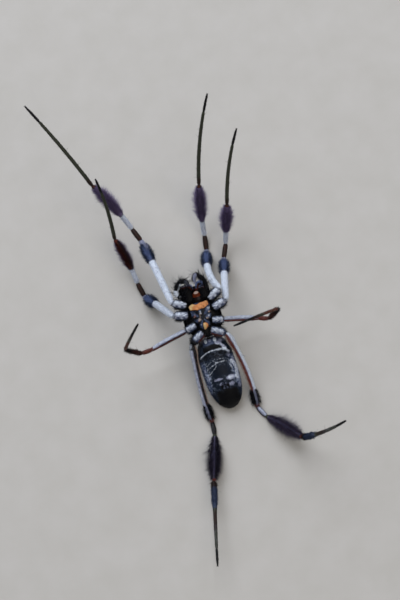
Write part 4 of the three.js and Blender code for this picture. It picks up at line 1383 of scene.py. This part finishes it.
own_piece("back_shell", [carapace], SHELL, "silver_shell", "carapace")
own_piece("breastplate", [sternum], SHELL, "breastplate", "sternum")
own_piece("lip", [labium], AMBER, "amber_cuticle", "labium")
for name in SIDES:
    own_piece(f"mouth_plate_{name}", [maxillae[name]], MOUTH, "black_cuticle", f"maxilla_{name}")
    own_piece(f"jaw_{name}", [chelicerae[name]], MOUTH, "black_cuticle", f"chelicera_{name}")
    own_piece(f"jaw_hook_{name}", [fangs[name]], AMBER, "amber_cuticle", f"fang_{name}")


# A lens from its foot to its top: distance from its axis and height, in radii of the eye.
LENS_PROFILE = [
    (0.2, -0.2), (0.95, -0.1), (1.12, 0.0), (1.08, 0.12), (0.96, 0.22), (0.86, 0.42),
    (0.7, 0.62), (0.5, 0.78), (0.28, 0.88), (0.05, 0.92),
]


def eye_shape(at, side):
    """A domed lens on a low dark ring, standing square on the head."""
    x, y = at
    width, height = carapace_half(np.array(y))
    z = CARAPACE.front[2] - height * np.sqrt(1 - (x / width) ** 2)
    lean = np.array([side * x / width**2, 0.1, -np.sqrt(1 - (x / width) ** 2) / height])
    out = unit(lean + np.array([0, 0.06, 0]))
    first = unit(np.cross(out, (0.0, 1.0, 0.0)))
    second = np.cross(out, first)
    turn = turns(24)[:, None]
    rounds, heights = np.array(LENS_PROFILE).T * EYE_RADIUS
    ring = np.cos(turn) * first + np.sin(turn) * second
    rings = heights[:, None, None] * out + rounds[:, None, None] * ring + (side * x, y, float(z))
    return Shape(in_row(rings))


for place, at in EYES.items():
    for name, side in SIDES.items():
        own_piece(f"lens_{name}_{place}", [eye_shape(at, side)], EYE, "eye_lens", f"eye_{name}_{place}")

CLAW_TAPER = [[0, 0.055], [0.6, 0.035], [1, 0.006]]


def claw_shapes(leg):
    """Two combed main claws and a short middle hook at the end of a foot."""
    shapes = []
    for sideways, long in ((-0.09, 0.34), (0.09, 0.34), (0.0, 0.2)):
        start = leg.tip - leg.tip_way * 0.12 + leg.tip_front * sideways
        bend = start + leg.tip_way * long * 0.8 + leg.tip_front * sideways * 0.6
        end = bend + leg.tip_way * 0.08 + leg.tip_belly * long * 0.55
        line, forward = curve_through([start, bend, end], 12)
        across = unit(np.cross(forward, leg.tip_front))
        taper = profile(CLAW_TAPER, np.linspace(0, 1, 12))
        shapes.append(limb(line, across, unit(np.cross(across, forward)), np.tile(taper[:, None], 8)))
    return shapes


claws = [shape for leg in legs.values() for shape in claw_shapes(leg)]
own_piece("claws", claws, MOUTH, "black_cuticle")

# ---------- where each kind of hair grows ----------

# Kinds of hair: how many stand on a square millimetre, length and width in millimetres; the lean
# out from the skin, the scatter of headings and the droop by the tip, in degrees; and how uneven
# the tones are. The hairs of tufts are as long as their leg's marks say.
HAIRS = {
    "front_tufts": (105, None, 0.06, 50, 16, 12, 0.35),
    "rear_tufts": (84, None, 0.06, 46, 16, 12, 0.35),
    "silver_on_coxae": (48, 0.32, 0.04, 16, 14, 6, 0.35),
    "silver_on_legs": (48, 0.5, 0.04, 10, 14, 6, 0.35),
    "feet": (42, 0.36, 0.032, 24, 14, 8, 0.3),
    "dark_coxae": (34, 0.75, 0.05, 40, 20, 8, 0.3),
    "leg_spines": (0.32, 1.25, 0.05, 48, 25, 12, 0.2),
    "back_shell": (42, 0.5, 0.045, 14, 22, 8, 0.2),
    "breastplate_down": (26, 0.4, 0.035, 22, 25, 8, 0.2),
    "breastplate_bristles": (1.2, 0.8, 0.03, 60, 30, 10, 0.2),
    "abdomen_down": (12.0, 0.34, 0.035, 20, 16, 8, 0.3),
    "abdomen_bristles": (1.0, 0.75, 0.03, 38, 20, 12, 0.3),
    "spinnerets": (40.0, 0.22, 0.03, 35, 20, 8, 0.2),
    "palp_down": (60, 0.42, 0.04, 38, 18, 8, 0.3),
    "palp_bristles": (10.0, 1.9, 0.075, 60, 20, 14, 0.3),
    "mouth_plates": (30, 0.65, 0.045, 42, 20, 10, 0.2),
    "jaws": (6.0, 0.5, 0.04, 40, 25, 10, 0.2),
}
REAR_LEGS = ("right_3", "left_3", "right_4", "left_4")


def brushes(name, kind, which, seed):
    """The black bottle-brush tufts on femora and tibiae."""
    wanted = [(legs[leg], kind, legs[leg].marks["brush"]) for leg in which]
    coat(name, np.random.default_rng(seed), wanted, BLACK_HAIR, "hair_black")


def sleek_coat(name, which, seed):
    """Short silver hair lying close on coxae, femora and pale bands."""
    wanted = []
    for leg in (legs[leg] for leg in which):
        short = leg.segment == COXA
        wanted.append((leg, "silver_on_coxae", leg.marks["sleek"] * short))
        wanted.append((leg, "silver_on_legs", leg.marks["sleek"] * ~short))
    coat(name, np.random.default_rng(seed), wanted, SILVER_HAIR, "hair_white")


def foot_coat(name, seed):
    """Short dark hair on the feet and shins, and a few long spines on every leg."""
    wanted = []
    for leg in legs.values():
        wanted.append((leg, "feet", leg.marks["foot"] + 0.5 * (leg.segment == PATELLA)))
        # Long dark hairs grow on all the black of the coxae, so they also stand on the painted shade of
        # their rear sides.
        wanted.append((leg, "dark_coxae", leg.marks["black"] * (leg.segment == COXA)))
        wanted.append((leg, "leg_spines", (leg.segment >= FEMUR) & (leg.segment < TARSUS)))
    coat(name, np.random.default_rng(seed), wanted, BLACK_HAIR, "hair_black")


def trunk_coats(seed):
    """Close hair on the back shell and the breastplate, and fine bristly down on the abdomen."""
    chance = np.random.default_rng(seed)
    wanted = [(carapace, "back_shell", carapace.marks["sleek"])]
    coat("back_shell_hair", chance, wanted, BODY_HAIR, "hair_white")
    wanted = [
        (sternum, kind, sternum.marks["sleek"]) for kind in ("breastplate_down", "breastplate_bristles")
    ]
    coat("breastplate_hair", chance, wanted, BODY_HAIR, "hair_white")
    wanted = [(abdomen, "abdomen_down", 1.0), (abdomen, "abdomen_bristles", 1.0)]
    wanted.extend((finger, "spinnerets", 1.0) for finger in spinnerets[1:])
    coat("abdomen_hair", chance, wanted, BODY_HAIR, "hair_black")


def mouth_coat(name, seed):
    """Down and long bristles on the palps, and bristles on the mouth plates and jaws."""
    wanted = []
    for side in SIDES:
        palp, plate, jaw = palps[side], maxillae[side], chelicerae[side]
        bristly = Shape(palp.rings, {**palp.marks, "white": 0.0})
        bristly.strip = palp.strip
        wanted.append((palp, "palp_down", palp.marks["bristly"]))
        wanted.append((bristly, "palp_bristles", palp.marks["bristly"]))
        wanted.append((plate, "mouth_plates", plate.marks["bristly"]))
        wanted.append((jaw, "jaws", jaw.marks["black"]))
    finish = setae("mouth_setae", "#15120f", ("maroon", "lilac", "black", "white"), 0.42, "#4a4f60", 0.25)
    coat(name, np.random.default_rng(seed), wanted, finish, "hair_black")


brushes("brushes_right_front_legs", "front_tufts", ("right_1", "right_2"), 11)
brushes("brushes_left_front_legs", "front_tufts", ("left_1", "left_2"), 18)
brushes("brushes_rear_legs", "rear_tufts", REAR_LEGS, 12)
sleek_coat("silver_hair_front_legs", ("right_1", "left_1", "right_2", "left_2"), 13)
sleek_coat("silver_hair_rear_legs", REAR_LEGS, 14)
foot_coat("foot_hair", 15)
trunk_coats(16)
mouth_coat("mouth_hair", 17)

# ---------- floor, light and camera ----------

# The camera looks straight at the belly from 450 mm, so a picture 600 high takes in 120 mm.
CAMERA_PLACE = (0.58, 3.17, 450.0)
CAMERA_ROLL = np.radians(17.5)
CAMERA_LENS = 135.0


# Half the width of the floor, in metres.
FLOOR_HALF = 0.6


def placed(name, data, right, up, back, place):
    """An object with its axes turned to three directions, at a place in metres."""
    made = bpy.data.objects.new(name, data)
    rows = zip(np.stack([right, up, back], 1), place)
    made.matrix_world = Matrix([[*row, p] for row, p in rows] + [[0, 0, 0, 1]])
    bpy.context.scene.collection.objects.link(made)
    return made


def stage():
    """The floor that the model lies on."""
    corners = [(FLOOR_HALF * x, FLOOR_HALF * y, 0) for x, y in ((-1, -1), (1, -1), (1, 1), (-1, 1))]
    mesh = bpy.data.meshes.new("floor")
    mesh.from_pydata(corners, [], [(0, 1, 2, 3)])
    mesh.materials.append(floor_board())
    placed("floor", mesh, *np.eye(3), (0, 0, 0))


def lamp(name, place, size, power, colour):
    """A square soft light of that size in metres, aimed at the spider."""
    data = bpy.data.lights.new(name, "AREA")
    data.size, data.energy, data.color = size, power, linear(colour)[:3]
    back = unit(np.array(place, float))
    right = unit(np.cross((0.0, 1.0, 0.01), back))
    placed(name, data, right, np.cross(back, right), back, place)


def camera():
    """The camera, rolled so that the head points a little aside in the picture."""
    c, s = np.cos(CAMERA_ROLL), np.sin(CAMERA_ROLL)
    data = bpy.data.cameras.new("camera")
    data.lens, data.sensor_width, data.clip_start = CAMERA_LENS, 36.0, 0.01
    axes = turned([[c, -s, 0.0], [s, c, 0.0], [0.0, 0.0, 1.0]])
    bpy.context.scene.camera = placed("camera", data, *axes, in_row(CAMERA_PLACE) * MM)


stage()
lamp("sky", (-0.05, 0.5, 0.6), 0.7, 5.8, "#f2f6ff")
lamp("fill", (0.25, -0.45, 0.7), 0.6, 1.9, "#fff6ea")
camera()

world = bpy.data.worlds.new("studio")
bpy.context.scene.world = world
world.use_nodes = True
sky = world.node_tree.nodes["Background"].inputs
sky["Color"].default_value = linear("#e6eaf0")
sky["Strength"].default_value = 0.3
bpy.context.scene.view_settings.view_transform = "Standard"
